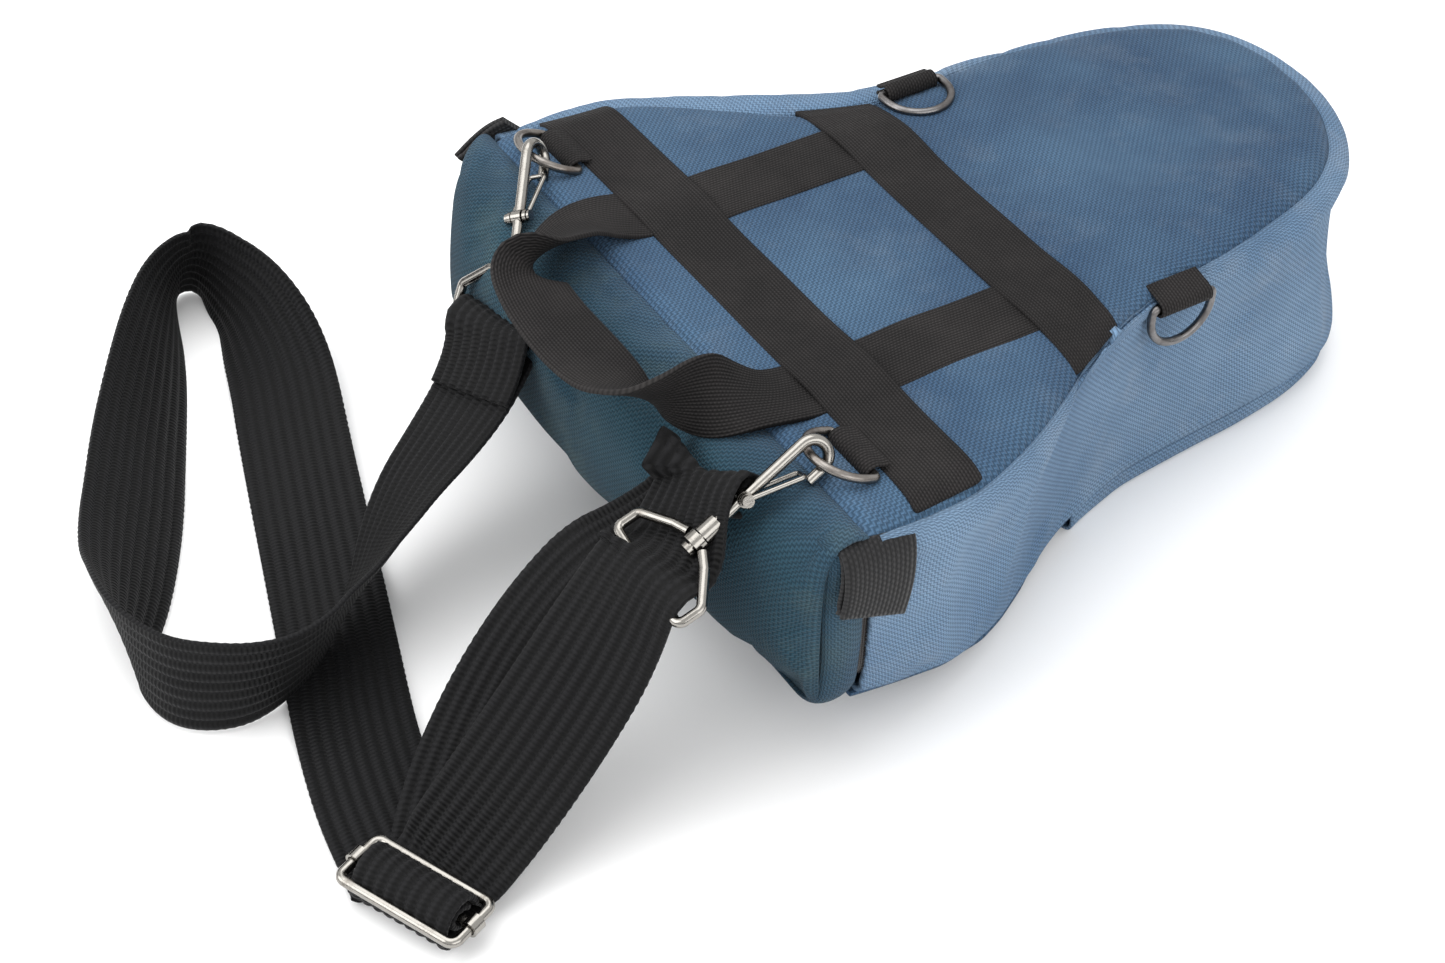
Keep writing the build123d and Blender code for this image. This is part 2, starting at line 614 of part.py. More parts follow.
with BuildPart() as slider_frame:
    with BuildLine(FLAT):
        FilletPolyline((0, -FRAME_HALF_V), (FRAME_HALF_U, -FRAME_HALF_V), (FRAME_HALF_U, FRAME_HALF_V),
                       (0, FRAME_HALF_V), radius=2.6)
    with BuildSketch(Plane(origin=SLIDER_AT - FLAT.y_dir * FRAME_HALF_V, z_dir=ACROSS)):
        Circle(FRAME_R)
    sweep()
    mirror(about=Plane(origin=SLIDER_AT, z_dir=ACROSS))
finish(slider_frame, "slider_frame")

with BuildPart() as slider_bar:
    add(rod(SLIDER_AT - ACROSS * 20, ACROSS, 40, BAR_R))
    for sign in (1, -1):
        knob = SLIDER_AT + ACROSS * (sign * FRAME_HALF_U)
        add(rod(knob - ALONG * 2.2, ALONG, 4.4, 2.7))
        add(rod(knob - ALONG * 4, ALONG, 8, FRAME_R + CLEAR), mode=Mode.SUBTRACT)
finish(slider_bar, "slider_bar")


def layer(points, radius):
    """A flat strap folded along a line in the adjuster's long section."""
    with BuildPart(mode=Mode.PRIVATE) as piece:
        with BuildSketch(SECTION) as profile:
            with BuildLine():
                FilletPolyline(*points, radius=radius)
            trace(line_width=STRAP_T)
        extrude(amount=STRAP_WEB / 2 - 0.8, both=True)
    return piece.part


TOP_END = (31.0, 8.5)      # where the upper layer leaves the adjuster, above and beyond its middle
SEWN_END = (31.0, 0.5)     # where the sewn end joins the lower layer
with BuildPart() as strap_slider_wrap:
    add(layer([(11, -8.6), (-5.9, -8.6), (-5.9, 5.9), (5.9, 5.9), (6.2, -2.6), (12, -3.2), (20, 1.5), TOP_END], 1.6))
    with BuildSketch(FLAT.offset(-9.8)):
        with BuildLine():
            Polyline((-17, -4.7), (-34, 6), (-31, 18), (-17, 11), close=True)
        make_face()
    extrude(amount=STRAP_T)
finish(strap_slider_wrap, "strap_slider_wrap")

SEWN_IN = BAR_R + CLEAR
with BuildPart() as strap_sewn_end:
    add(layer([(1.2, -3.1), (4.0, -5.4), (9, -5.9), (18, -5.4), SEWN_END], 1.5))
    with BuildSketch(SECTION):
        Circle(SEWN_IN + STRAP_T)
    extrude(amount=STRAP_WEB / 2 - 0.8, both=True)
    add(rod(SLIDER_AT - ACROSS * 30, ACROSS, 60, SEWN_IN), mode=Mode.SUBTRACT)
finish(strap_sewn_end, "strap_sewn_end")

# At the near hook the strap passes over the ring's bar, folds back and returns below it.
NEAR_BAR = Vector(*STRAP_BAR_AT["near"])
NEAR_Y = NEAR_BAR.Y
FOLD_TOP = (-183.5, 65.6)
FOLD_LOW = (-186.0, 58.4)
with BuildPart() as strap_near_fold:
    with BuildSketch(Plane.XZ.offset(-NEAR_Y)):
        with BuildLine():
            FilletPolyline(FOLD_TOP, (-173, 79.8), (-169.5, 80.2), (-164, 76.9), (-157, 76.2), (-142.6, 84.8),
                           (-142.9, 80.2), (-155, 73.8), (-170, 72.9), FOLD_LOW, radius=1.6)
        trace(line_width=STRAP_T)
    extrude(amount=STRAP_WEB / 2 - 0.8, both=True)
# The fold lies square to the bar, which stands a little askew.
FOLD_TURN = -5.9
FOLD_TILT = 3.0
turned_fold = strap_near_fold.part.rotate(Axis(NEAR_BAR, (0, 0, 1)), FOLD_TURN).rotate(Axis(NEAR_BAR, (1, 0, 0)), FOLD_TILT)
with BuildPart() as strap_near_fold:
    add(turned_fold)
finish(strap_near_fold, "strap_near_fold")


def flat_leg(start, end, start_dir, end_dir):
    """A flat strap between two places, turning from one width direction to the other."""
    run = (end - start).normalized()
    with BuildPart() as leg:
        with BuildSketch(Plane(origin=start, x_dir=start_dir, z_dir=start_dir.cross(ALONG + Vector(0, 0, 1)).cross(start_dir))):
            Rectangle(STRAP_WEB - 1.6, STRAP_T)
        with BuildSketch(Plane(origin=end, x_dir=end_dir, z_dir=end_dir.cross(run).cross(end_dir))):
            Rectangle(STRAP_WEB - 1.6, STRAP_T)
        loft(ruled=True)
    return leg


for name, start_vz, end_xz in (("strap_upper_leg", TOP_END, FOLD_TOP), ("strap_lower_leg", SEWN_END, FOLD_LOW)):
    start = SLIDER_AT + ALONG * start_vz[0] + Vector(0, 0, start_vz[1])
    end = Vector(end_xz[0], NEAR_Y, end_xz[1])
    finish(flat_leg(start, end, ACROSS, Vector(0, -1, 0)), name)
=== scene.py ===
"""Navy canvas camera bag with its shoulder strap: the looks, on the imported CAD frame."""

import json
import math

import bmesh
import bpy
import numpy as np
from mathutils import Matrix, Vector


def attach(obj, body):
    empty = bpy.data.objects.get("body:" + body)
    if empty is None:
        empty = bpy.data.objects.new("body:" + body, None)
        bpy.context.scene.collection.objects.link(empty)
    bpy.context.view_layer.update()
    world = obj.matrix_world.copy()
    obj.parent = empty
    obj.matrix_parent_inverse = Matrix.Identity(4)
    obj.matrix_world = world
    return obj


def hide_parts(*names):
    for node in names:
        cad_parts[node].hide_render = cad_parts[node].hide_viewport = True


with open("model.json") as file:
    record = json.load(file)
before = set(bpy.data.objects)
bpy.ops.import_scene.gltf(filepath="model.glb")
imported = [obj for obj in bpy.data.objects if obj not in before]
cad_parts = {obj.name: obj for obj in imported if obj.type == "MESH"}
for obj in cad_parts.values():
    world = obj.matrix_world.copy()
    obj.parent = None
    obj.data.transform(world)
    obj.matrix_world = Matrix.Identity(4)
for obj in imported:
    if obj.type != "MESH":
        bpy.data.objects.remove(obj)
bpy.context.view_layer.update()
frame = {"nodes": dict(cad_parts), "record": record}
scene = bpy.context.scene
MM = 0.001                 # lengths below are in millimetres
WEBBING = 25               # the width of all webbing on the bag
RING_WEBBING = 20          # the webbing that holds the D-rings
STRAP_WIDTH = 37.2
STRAP_THICK = 2.3
STRAP_HALF = 19            # how far from the strap's middle its stations' edge directions are followed
ON_FLOOR = 0.0002          # metres
SLIDER_MIDDLE = np.array([-256.5, -103.0, 10.0])


def new_object(name, data):
    """An object in the scene."""
    item = bpy.data.objects.new(name, data)
    bpy.context.collection.objects.link(item)
    return item


# ---- camera
def look(position, right, down, forward, lens):
    """A camera from its place in millimetres and its three directions."""
    data = bpy.data.cameras.new("photo_camera")
    data.lens = lens
    data.sensor_width = 36
    data.sensor_fit = "HORIZONTAL"
    data.clip_start = 0.05
    data.clip_end = 30
    camera = new_object("photo_camera", data)
    r, d, f = (Vector(axis).normalized() for axis in (right, down, forward))
    turn = Matrix((r, -d, -f)).transposed().to_4x4()
    camera.matrix_world = Matrix.Translation(Vector(position) * MM) @ turn
    scene.camera = camera


look((-468.3, -573.8, 631.0), (0.84860, -0.52827, 0.02851), (-0.33653, -0.58061, -0.74137),
     (0.40820, 0.61953, -0.67049), 69.86)


# ---- node helpers
class Nodes:
    """A short way to write a material's nodes."""

    def __init__(self, name):
        self.material = bpy.data.materials.new(name)
        self.material.use_nodes = True
        self.tree = self.material.node_tree
        self.shader = self.tree.nodes["Principled BSDF"]

    def make(self, kind, **settings):
        node = self.tree.nodes.new("ShaderNode" + kind)
        for key, value in settings.items():
            setattr(node, key, value)
        return node

    def set(self, socket, value):
        if isinstance(value, bpy.types.NodeSocket):
            self.tree.links.new(value, socket)
        else:
            socket.default_value = value

    def math(self, operation, a, b=0.0, c=0.0):
        node = self.make("Math", operation=operation)
        for socket, value in zip(node.inputs, (a, b, c)):
            self.set(socket, value)
        return node.outputs[0]

    def split(self, vector):
        node = self.make("SeparateXYZ")
        self.set(node.inputs[0], vector)
        return node.outputs

    def uv(self):
        return self.split(self.make("UVMap", uv_map="UVMap").outputs[0])[:2]

    def place(self):
        """The point on the piece, in metres, from the object's own axes."""
        return self.make("TexCoord").outputs["Object"]

    def noise(self, vector, scale, detail=3.0, rough=0.5):
        node = self.make("TexNoise")
        self.set(node.inputs["Vector"], vector)
        node.inputs["Scale"].default_value = scale
        node.inputs["Detail"].default_value = detail
        node.inputs["Roughness"].default_value = rough
        return node.outputs[0]

    def stretch(self, vector, x, y, z):
        node = self.make("Mapping")
        self.set(node.inputs["Vector"], vector)
        node.inputs["Scale"].default_value = (x, y, z)
        return node.outputs[0]

    def ramp(self, value, low, high, to_low=0.0, to_high=1.0):
        node = self.make("MapRange")
        self.set(node.inputs["Value"], value)
        for key, number in (("From Min", low), ("From Max", high), ("To Min", to_low), ("To Max", to_high)):
            self.set(node.inputs[key], number)
        return node.outputs[0]

    def blend(self, factor, a, b, kind="MIX"):
        node = self.make("Mix", data_type="RGBA", blend_type=kind)
        self.set(node.inputs[0], factor)
        for socket, value in ((node.inputs[6], a), (node.inputs[7], b)):
            if isinstance(value, tuple) and len(value) == 3:
                value = (*value, 1.0)
            self.set(socket, value)
        return node.outputs[2]

    def shade(self, colour, value):
        """A colour made darker or lighter by a number."""
        grey = self.make("CombineColor")
        for socket in grey.inputs[:3]:
            self.set(socket, value)
        return self.blend(1.0, colour, grey.outputs[0], "MULTIPLY")

    def bump(self, height, strength, distance, under=None):
        node = self.make("Bump")
        node.inputs["Strength"].default_value = strength
        node.inputs["Distance"].default_value = distance
        self.set(node.inputs["Height"], height)
        if under is not None:
            self.set(node.inputs["Normal"], under)
        return node.outputs[0]

    def sine(self, angle):
        """A sine drawn up to run from 0 to 1."""
        return self.math("MULTIPLY_ADD", self.math("SINE", angle), 0.5, 0.5)

    def wave(self, value, pitch):
        """A sine along a length in metres."""
        return self.sine(self.math("MULTIPLY", value, 2 * math.pi / pitch))


def canvas(name, dark, light, dust, pitch=0.00105, weave=0.5, dirt=0.25, front=None):
    """Plain-weave canvas: two sets of threads, with painted shade between them and painted highlight on their
    tops, uneven dye, rubbed and dusty places.
    """
    n = Nodes(name)
    u, v = n.uv()
    place = n.place()
    warp = n.wave(u, pitch)
    weft = n.wave(v, pitch)
    over_u, over_v = (n.math("GREATER_THAN", n.wave(way, 2 * pitch), 0.5) for way in (u, v))
    checker = n.math("ABSOLUTE", n.math("SUBTRACT", over_u, over_v))
    other = n.math("SUBTRACT", 1.0, checker)
    threads = n.math("ADD", n.math("MULTIPLY", checker, warp), n.math("MULTIPLY", other, weft))
    fuzz = n.noise(place, 900, 2)
    height = n.math("ADD", threads, n.math("MULTIPLY", fuzz, 0.5))
    patches = n.ramp(n.noise(place, 14, 4, 0.6), 0.35, 0.7)
    rubbed = n.ramp(n.noise(place, 38, 6, 0.7), 0.52, 0.75, 0.0, dirt)
    speck = n.ramp(n.noise(place, 240, 3, 0.7), 0.6, 0.75, 0.0, 0.3)
    colour = n.blend(patches, dark, light)
    if front:
        to_front = n.ramp(n.split(place)[0], -0.136, -0.118)
        colour = n.blend(to_front, colour, n.blend(patches, *front))
    colour = n.blend(rubbed, colour, dust)
    colour = n.blend(speck, colour, light)
    # Painted shade and highlight: the colour goes darker in the hollows between threads and lighter on their
    # tops.
    colour = n.shade(colour, n.ramp(threads, 0.0, 1.0, 0.60, 1.18))
    n.set(n.shader.inputs["Base Color"], colour)
    n.set(n.shader.inputs["Roughness"], n.ramp(patches, 0, 1, 0.82, 0.95))
    broad = n.bump(n.noise(place, 60, 3, 0.5), 0.25, 0.0012)
    n.set(n.shader.inputs["Normal"], n.bump(height, weave, 0.00035, broad))
    n.shader.inputs["Sheen Weight"].default_value = 0.06
    n.shader.inputs["Sheen Roughness"].default_value = 0.5
    n.shader.inputs["Specular IOR Level"].default_value = 0.10
    return n.material


def webbing(name, dark, light, ribs, cross, depth=0.6, shine=0.2, wear_and_highlight=0.2, sheen=0.12, groove_shade=0.45):
    """Woven webbing: u runs along it and v across it. Its rib tops carry a painted highlight and its grooves
    painted shade.
    """
    n = Nodes(name)
    u, v = n.uv()
    place = n.place()
    rib = n.wave(v, ribs)
    shift = n.math("MULTIPLY", n.math("GREATER_THAN", n.wave(v, 2 * ribs), 0.5), math.pi)
    stitch = n.sine(n.math("ADD", n.math("MULTIPLY", u, 2 * math.pi / cross), shift))
    height = n.math("ADD", rib, n.math("MULTIPLY", stitch, 0.6))
    fuzz = n.noise(place, 1400, 2)
    height = n.math("ADD", height, n.math("MULTIPLY", fuzz, 0.4))
    patches = n.ramp(n.noise(place, 30, 5, 0.65), 0.4, 0.7)
    colour = n.blend(patches, dark, light)
    # Painted highlight: the rib tops where the stitches cross are painted lighter.
    high = n.ramp(n.math("MULTIPLY", rib, stitch), 0.2, 1.0, 0.0, wear_and_highlight)
    # Painted shade: the grooves between ribs and between stitches are darkened.
    low = n.ramp(n.math("MULTIPLY", rib, n.math("MULTIPLY_ADD", stitch, 0.7, 0.3)), 0.0, 0.45, groove_shade, 1.0)
    colour = n.blend(high, colour, tuple(min(1.0, c * 2.2) for c in light))
    n.set(n.shader.inputs["Base Color"], n.shade(colour, low))
    n.set(n.shader.inputs["Roughness"], n.ramp(patches, 0, 1, 0.62, 0.8))
    n.set(n.shader.inputs["Normal"], n.bump(height, depth, 0.0004))
    n.shader.inputs["Sheen Weight"].default_value = sheen
    n.shader.inputs["Specular IOR Level"].default_value = shine
    return n.material


def metal(name, colour, worn_colour, rough, wear):
    """Plated metal, worn through in places, with fine scratches and finger marks."""
    n = Nodes(name)
    place = n.place()
    patch = n.noise(place, 160, 6, 0.7)
    wear_and_highlight = n.ramp(patch, 0.6 - wear * 0.3, 0.78)
    smear = n.noise(n.stretch(place, 1, 1, 3), 420, 4, 0.6)
    n.set(n.shader.inputs["Base Color"], n.blend(wear_and_highlight, colour, worn_colour))
    rough_node = n.ramp(smear, 0.3, 0.8, rough, rough + 0.16)
    n.set(n.shader.inputs["Roughness"], n.math("MULTIPLY_ADD", wear_and_highlight, 0.22, rough_node))
    scratches = n.noise(place, 2600, 3, 0.6)
    n.set(n.shader.inputs["Normal"], n.bump(scratches, 0.12, 0.0001, n.bump(patch, 0.15, 0.0003)))
    n.shader.inputs["Metallic"].default_value = 1.0
    return n.material


def thread(name, colour):
    """Twisted sewing thread."""
    n = Nodes(name)
    place = n.place()
    mix = n.blend(n.noise(place, 700, 2), colour, tuple(c * 0.5 for c in colour))
    n.set(n.shader.inputs["Base Color"], mix)
    n.set(n.shader.inputs["Roughness"], 0.8)
    n.set(n.shader.inputs["Normal"], n.bump(n.noise(place, 3000, 2), 0.5, 0.0002))
    n.shader.inputs["Sheen Weight"].default_value = 0.2
    return n.material


NAVY = canvas("navy_canvas", (0.0323, 0.0698, 0.1302), (0.0646, 0.1250, 0.2034), (0.1978, 0.2328, 0.2779),
              weave=0.9, dirt=0.18)
NAVY_SIDE = canvas("navy_gusset", (0.0947, 0.1680, 0.2725), (0.1690, 0.2598, 0.3765),
                   (0.3072, 0.3472, 0.3952), weave=0.9, dirt=0.3)
LID_BLUE = canvas("lid_canvas", (0.0141, 0.0413, 0.0646), (0.0262, 0.0674, 0.0926), (0.0725, 0.1087, 0.1023),
                  weave=0.9, dirt=0.45, front=((0.0246, 0.0533, 0.0891), (0.0464, 0.0910, 0.1386)))
LINING = canvas("lining_nylon", (0.014, 0.016, 0.022), (0.022, 0.024, 0.032), (0.05, 0.05, 0.06),
                pitch=0.0006)
# All webbing below has a painted highlight on its rib tops and painted shade in its grooves; the dotted
# webbing's highlight is the strongest.
CHARCOAL = webbing("charcoal_webbing", (0.0173, 0.0163, 0.0164), (0.0313, 0.0291, 0.0288), 0.0011, 0.0012,
                   shine=0.06, sheen=0.01)
TAB_WEB = webbing("dotted_webbing", (0.009, 0.009, 0.010), (0.016, 0.0155, 0.016), 0.0016, 0.0016, wear_and_highlight=0.5)
STRAP = webbing("black_strap", (0.0044, 0.0044, 0.0050), (0.0081, 0.0081, 0.0090), 0.0041, 0.0015,
                depth=1.0, shine=0.16, wear_and_highlight=0.20, sheen=0.03, groove_shade=0.25)
TAPE = webbing("zip_tape", (0.014, 0.011, 0.010), (0.03, 0.022, 0.02), 0.0008, 0.0008)
COIL = thread("zip_coil", (0.02, 0.02, 0.022))
STITCH = thread("stitch_thread", (0.02, 0.04, 0.07))
# Not sewing thread: a dark tube laid along the back panel's seam as painted shade in its groove.
SEAM_SHADE = thread("seam_shade_tube", (0.006, 0.012, 0.022))
NICKEL = metal("bright_nickel", (0.2852, 0.2728, 0.2511), (0.1550, 0.1364, 0.1178), 0.12, 0.2)
WORN = metal("worn_nickel", (0.2448, 0.2304, 0.2160), (0.0792, 0.0540, 0.0396), 0.22, 0.75)
GUNMETAL = metal("gunmetal", (0.17, 0.165, 0.165), (0.07, 0.06, 0.055), 0.22, 0.6)


# ---- mesh helpers
def sines(points, size, seed, count=7):
    """Smooth seeded bumps from -1 to 1 over points in millimetres."""
    rng = np.random.RandomState(seed)
    total = np.zeros(points.shape[:-1])
    for _ in range(count):
        direction = rng.normal(size=3)
        direction *= 2 * math.pi / (size * rng.uniform(0.7, 1.6)) / np.linalg.norm(direction)
        total += np.sin(points @ direction + rng.uniform(0, 6.28))
    return total / count * 1.6


def run_lengths(line):
    """How far along a line each of its points is."""
    return np.concatenate([[0], np.cumsum(np.linalg.norm(np.diff(line, axis=0), axis=1))])


def sampled(at, known, points):
    """A line's points read at other places along it."""
    return np.stack([np.interp(at, known, points[:, k]) for k in range(points.shape[1])], axis=1)


def stretched(points, count):
    """A line's points spread over another number of them."""
    return sampled(np.linspace(0, 1, count), np.linspace(0, 1, len(points)), points)


def level(plan, z):
    """Plan points at one height, or at a height each."""
    return np.concatenate([plan, np.broadcast_to(z, plan.shape[:-1])[..., None]], axis=-1)


def grid_uv(along, across):
    """The uv of a grid, in metres, from lengths in millimetres."""
    return np.stack(np.broadcast_arrays(along * MM, across * MM), axis=2)


def smooth_object(name, mesh):
    mesh.polygons.foreach_set("use_smooth", [True] * len(mesh.polygons))
    return new_object(name, mesh)


def places_of(mesh):
    """Where a mesh's vertices are, in metres."""
    return np.array([v.co for v in mesh.vertices])


def move_to(piece, places):
    """Give a piece's vertices new places, in metres."""
    piece.data.vertices.foreach_set("co", places.ravel())
    piece.data.update()


def sheet_mesh(name, points, material, closed=False, uv=None):
    """A mesh from a grid of points in millimetres, with uv in metres along the grid."""
    points = np.asarray(points, float)
    rows, columns = points.shape[:2]
    vertices = (points.reshape(-1, 3) * MM).tolist()
    faces = []
    last = columns if closed else columns - 1
    for i in range(rows - 1):
        for j in range(last):
            k = (j + 1) % columns
            this_row, next_row = i * columns, (i + 1) * columns
            faces.append((this_row + j, this_row + k, next_row + k, next_row + j))
    mesh = bpy.data.meshes.new(name)
    mesh.from_pydata(vertices, [], faces)
    if uv is None:
        down = np.linalg.norm(np.diff(points, axis=0), axis=2)
        along = np.linalg.norm(np.diff(points, axis=1), axis=2)
        u = np.concatenate([np.zeros((1, columns)), np.cumsum(down, axis=0)]) * MM
        v = np.concatenate([np.zeros((rows, 1)), np.cumsum(along, axis=1)], axis=1) * MM
        v = v - v[:, columns // 2:columns // 2 + 1]
        uv = np.stack([u, v], axis=2)
    layer = mesh.uv_layers.new(name="UVMap")
    flat = uv.reshape(-1, 2)
    step = uv[:, -1] + (uv[:, -1] - uv[:, -2])
    values = []
    for index, face in enumerate(faces):
        i, j = divmod(index, last)
        for corner, vertex in enumerate(face):
            if closed and j == columns - 1 and corner in (1, 2):
                values.extend(step[i + (corner == 2)])
            else:
                values.extend(flat[vertex])
    layer.data.foreach_set("uv", values)
    mesh.validate()
    mesh.update()
    mesh.materials.append(material)
    return smooth_object(name, mesh)


def thicken(piece, millimetres, offset=-1.0, levels=0):
    """Give a sheet its thickness, after any smoothing, and keep the result as its mesh."""
    if levels:
        subdivision = piece.modifiers.new("smooth", "SUBSURF")
        subdivision.levels = subdivision.render_levels = levels
    solid = piece.modifiers.new("thickness", "SOLIDIFY")
    solid.thickness = millimetres * MM
    solid.offset = offset
    graph = bpy.context.evaluated_depsgraph_get()
    graph.update()
    old = piece.data
    piece.data = bpy.data.meshes.new_from_object(piece.evaluated_get(graph), preserve_all_data_layers=True,
                                                 depsgraph=graph)
    piece.modifiers.clear()
    bpy.data.meshes.remove(old)
    return piece


CLOTH_FRAMES = 16
CLOTH_STIFFNESS = 6.0


def soft(piece, pinned, pressure, shrink, limit):
    """Fill a piece with air by cloth simulation. pinned is a weight per vertex, 1 where it's sewn."""
    start = places_of(piece.data)
    group = piece.vertex_groups.new(name="sewn")
    for index, weight in enumerate(pinned):
        if weight > 0:
            group.add([index], float(weight), "REPLACE")
    cloth = piece.modifiers.new("cloth", "CLOTH")
    settings = cloth.settings
    settings.vertex_group_mass = "sewn"
    settings.quality = 6
    settings.mass = 0.3
    settings.tension_stiffness = settings.compression_stiffness = CLOTH_STIFFNESS
    settings.shear_stiffness = CLOTH_STIFFNESS / 2
    settings.bending_stiffness = 0.6
    settings.shrink_min = shrink
    settings.use_pressure = True
    settings.uniform_pressure_force = pressure
    settings.effector_weights.gravity = 0
    cloth.collision_settings.use_collision = False
    cloth.point_cache.frame_start = 1
    cloth.point_cache.frame_end = CLOTH_FRAMES
    for step in range(1, CLOTH_FRAMES + 1):
        scene.frame_set(step)
    graph = bpy.context.evaluated_depsgraph_get()
    moved = places_of(piece.evaluated_get(graph).to_mesh())
    piece.evaluated_get(graph).to_mesh_clear()
    piece.modifiers.clear()
    piece.vertex_groups.clear()
    scene.frame_set(1)
    change = moved - start
    length = np.linalg.norm(change, axis=1, keepdims=True)
    change *= np.minimum(1.0, limit * MM / np.maximum(length, 1e-9))
    move_to(piece, start + change)


def resample(points, step):
    """Points at even steps along a line."""
    points = np.asarray(points, float)
    lengths = run_lengths(points)
    count = max(2, int(round(lengths[-1] / step)) + 1)
    return sampled(np.linspace(0, lengths[-1], count), lengths, points)


def smooth_line(points, step=2.0, rounds=3):
    """A rounded line through a few points (corner cutting), at even steps."""
    points = np.asarray(points, float)
    for _ in range(rounds):
        a, b = points[:-1], points[1:]
        middle = np.empty((2 * len(a), points.shape[1]))
        middle[0::2] = 0.75 * a + 0.25 * b
        middle[1::2] = 0.25 * a + 0.75 * b
        points = np.concatenate([points[:1], middle, points[-1:]])
    return resample(points, step)


def keep_on_floor(piece, lowest=0.0):
    """The floor flattens what rests on it."""
    places = places_of(piece.data)
    places[:, 2] = np.maximum(places[:, 2], lowest)
    move_to(piece, places)


def unit(vectors):
    """The same directions, each of length one."""
    vectors = np.asarray(vectors, float)
    return vectors / np.maximum(np.linalg.norm(vectors, axis=-1, keepdims=True), 1e-12)


def ribbon(name, centre, across, width, thickness, material, ribs=0, rib_depth=0.0, edge=None):
    """Flat webbing along a line. across is its width direction at each point."""
    centre = np.asarray(centre, float)
    tangent = unit(np.gradient(centre, axis=0))
    across = np.asarray(across, float)
    across = unit(across - tangent * np.sum(across * tangent, axis=1, keepdims=True))
    normal = unit(np.cross(tangent, across))
    half = width / 2
    rounding = min(thickness / 2, half)
    if ribs:
        flat = np.linspace(-half + rounding * 0.6, half - rounding * 0.6, ribs * 6 + 1)
        wave = np.abs(np.sin(np.pi * (flat + half) / (width / ribs))) ** 0.7
        lift = thickness / 2 - rib_depth * (1 - wave)
    else:
        flat = np.linspace(-half + rounding * 0.5, half - rounding * 0.5, 9)
        lift = np.full(len(flat), thickness / 2)
    top = np.stack([flat, lift], axis=1)
    inner, level = half - rounding * 0.12, thickness * 0.32
    side = np.array([[inner, level], [half, 0.0], [inner, -level]])
    bottom = np.stack([flat[::-1], -lift[::-1]], axis=1)
    profile = np.concatenate([top, side, bottom, -side])
    scale = np.ones(len(centre)) if edge is None else edge
    points = (centre[:, None] + across[:, None] * profile[None, :, :1] * scale[:, None, None]
              + normal[:, None] * profile[None, :, 1:])
    lengths = run_lengths(centre)
    around = profile[:, 0] + half
    piece = sheet_mesh(name, points, material, closed=True, uv=grid_uv(lengths[:, None], around[None]))
    close_ends(piece.data, len(centre), around, lengths)
    return piece


def close_ends(mesh, rows, around, lengths):
    """The two flat cut ends of a ribbon."""
    count = len(around)
    bm = bmesh.new()
    bm.from_mesh(mesh)
    bm.verts.ensure_lookup_table()
    layer = bm.loops.layers.uv.active
    for first, order, length in ((0, -1, lengths[0]), ((rows - 1) * count, 1, lengths[-1])):
        face = bm.faces.new([bm.verts[first + k] for k in range(count)][::order])
        face.smooth = False
        for loop in face.loops:
            loop[layer].uv = (length * MM, around[loop.vert.index - first] * MM)
    bmesh.ops.recalc_face_normals(bm, faces=bm.faces)
    bm.to_mesh(mesh)
    bm.free()


def new_curve(name, radius=0.0, resolution=0, material=None):
    """An empty curve, with a round section if it has a radius."""
    curve = bpy.data.curves.new(name, "CURVE")
    curve.dimensions = "3D"
    if radius:
        curve.bevel_depth = radius * MM
        curve.bevel_resolution = resolution
        curve.use_fill_caps = True
        curve.materials.append(material)
    return curve


def add_spline(curve, kind, points):
    """A spline through or along points in millimetres."""
    spline = curve.splines.new(kind)
    spline.points.add(len(points) - 1)
    for point, place in zip(spline.points, points):
        point.co = (*(np.asarray(place, float) * MM), 1)
    return spline


def curve_mesh(name, curve):
    """A curve's mesh; the curve's own object is taken away again."""
    holder = new_object(name, curve)
    graph = bpy.context.evaluated_depsgraph_get()
    mesh = bpy.data.meshes.new_from_object(holder.evaluated_get(graph), depsgraph=graph)
    bpy.data.objects.remove(holder)
    return mesh


def tube(name, line, radius, material, sides):
    """A round thread or wire along a line."""
    curve = new_curve(name, radius, max(1, sides // 4 - 1), material)
    add_spline(curve, "POLY", line)
    return smooth_object(name, curve_mesh(name, curve))


def stitches(name, line, pitch, length, radius, rise):
    """Separate thread stitches along a line on a surface."""
    line = resample(line, 0.5)
    lengths = run_lengths(line)
    curve = new_curve(name, radius, 1, STITCH)
    for start in np.arange(0.5, lengths[-1] - length, pitch):
        points = sampled(start + length * np.array([0, 0.2, 0.5, 0.8, 1.0]), lengths, line)
        points[:, 2] += rise * np.array([-0.6, 0.6, 1.0, 0.6, -0.6])
        add_spline(curve, "POLY", points)
    return smooth_object(name, curve_mesh(name, curve))


def joined(name, pieces):
    """Several pieces of one material as one object."""
    mesh = bpy.data.meshes.new(name)
    bm = bmesh.new()
    for piece in pieces:
        bm.from_mesh(piece.data)
    bm.to_mesh(mesh)
    bm.free()
    mesh.materials.append(pieces[0].data.materials[0])
    for piece in pieces:
        bpy.data.objects.remove(piece)
    return new_object(name, mesh)


def seat(piece, body, slot, *nodes):
    """Ride on a body and stand for CAD nodes, which are hidden; the slot is not used."""
    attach(piece, body)
    if nodes:
        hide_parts(*nodes)
    return piece


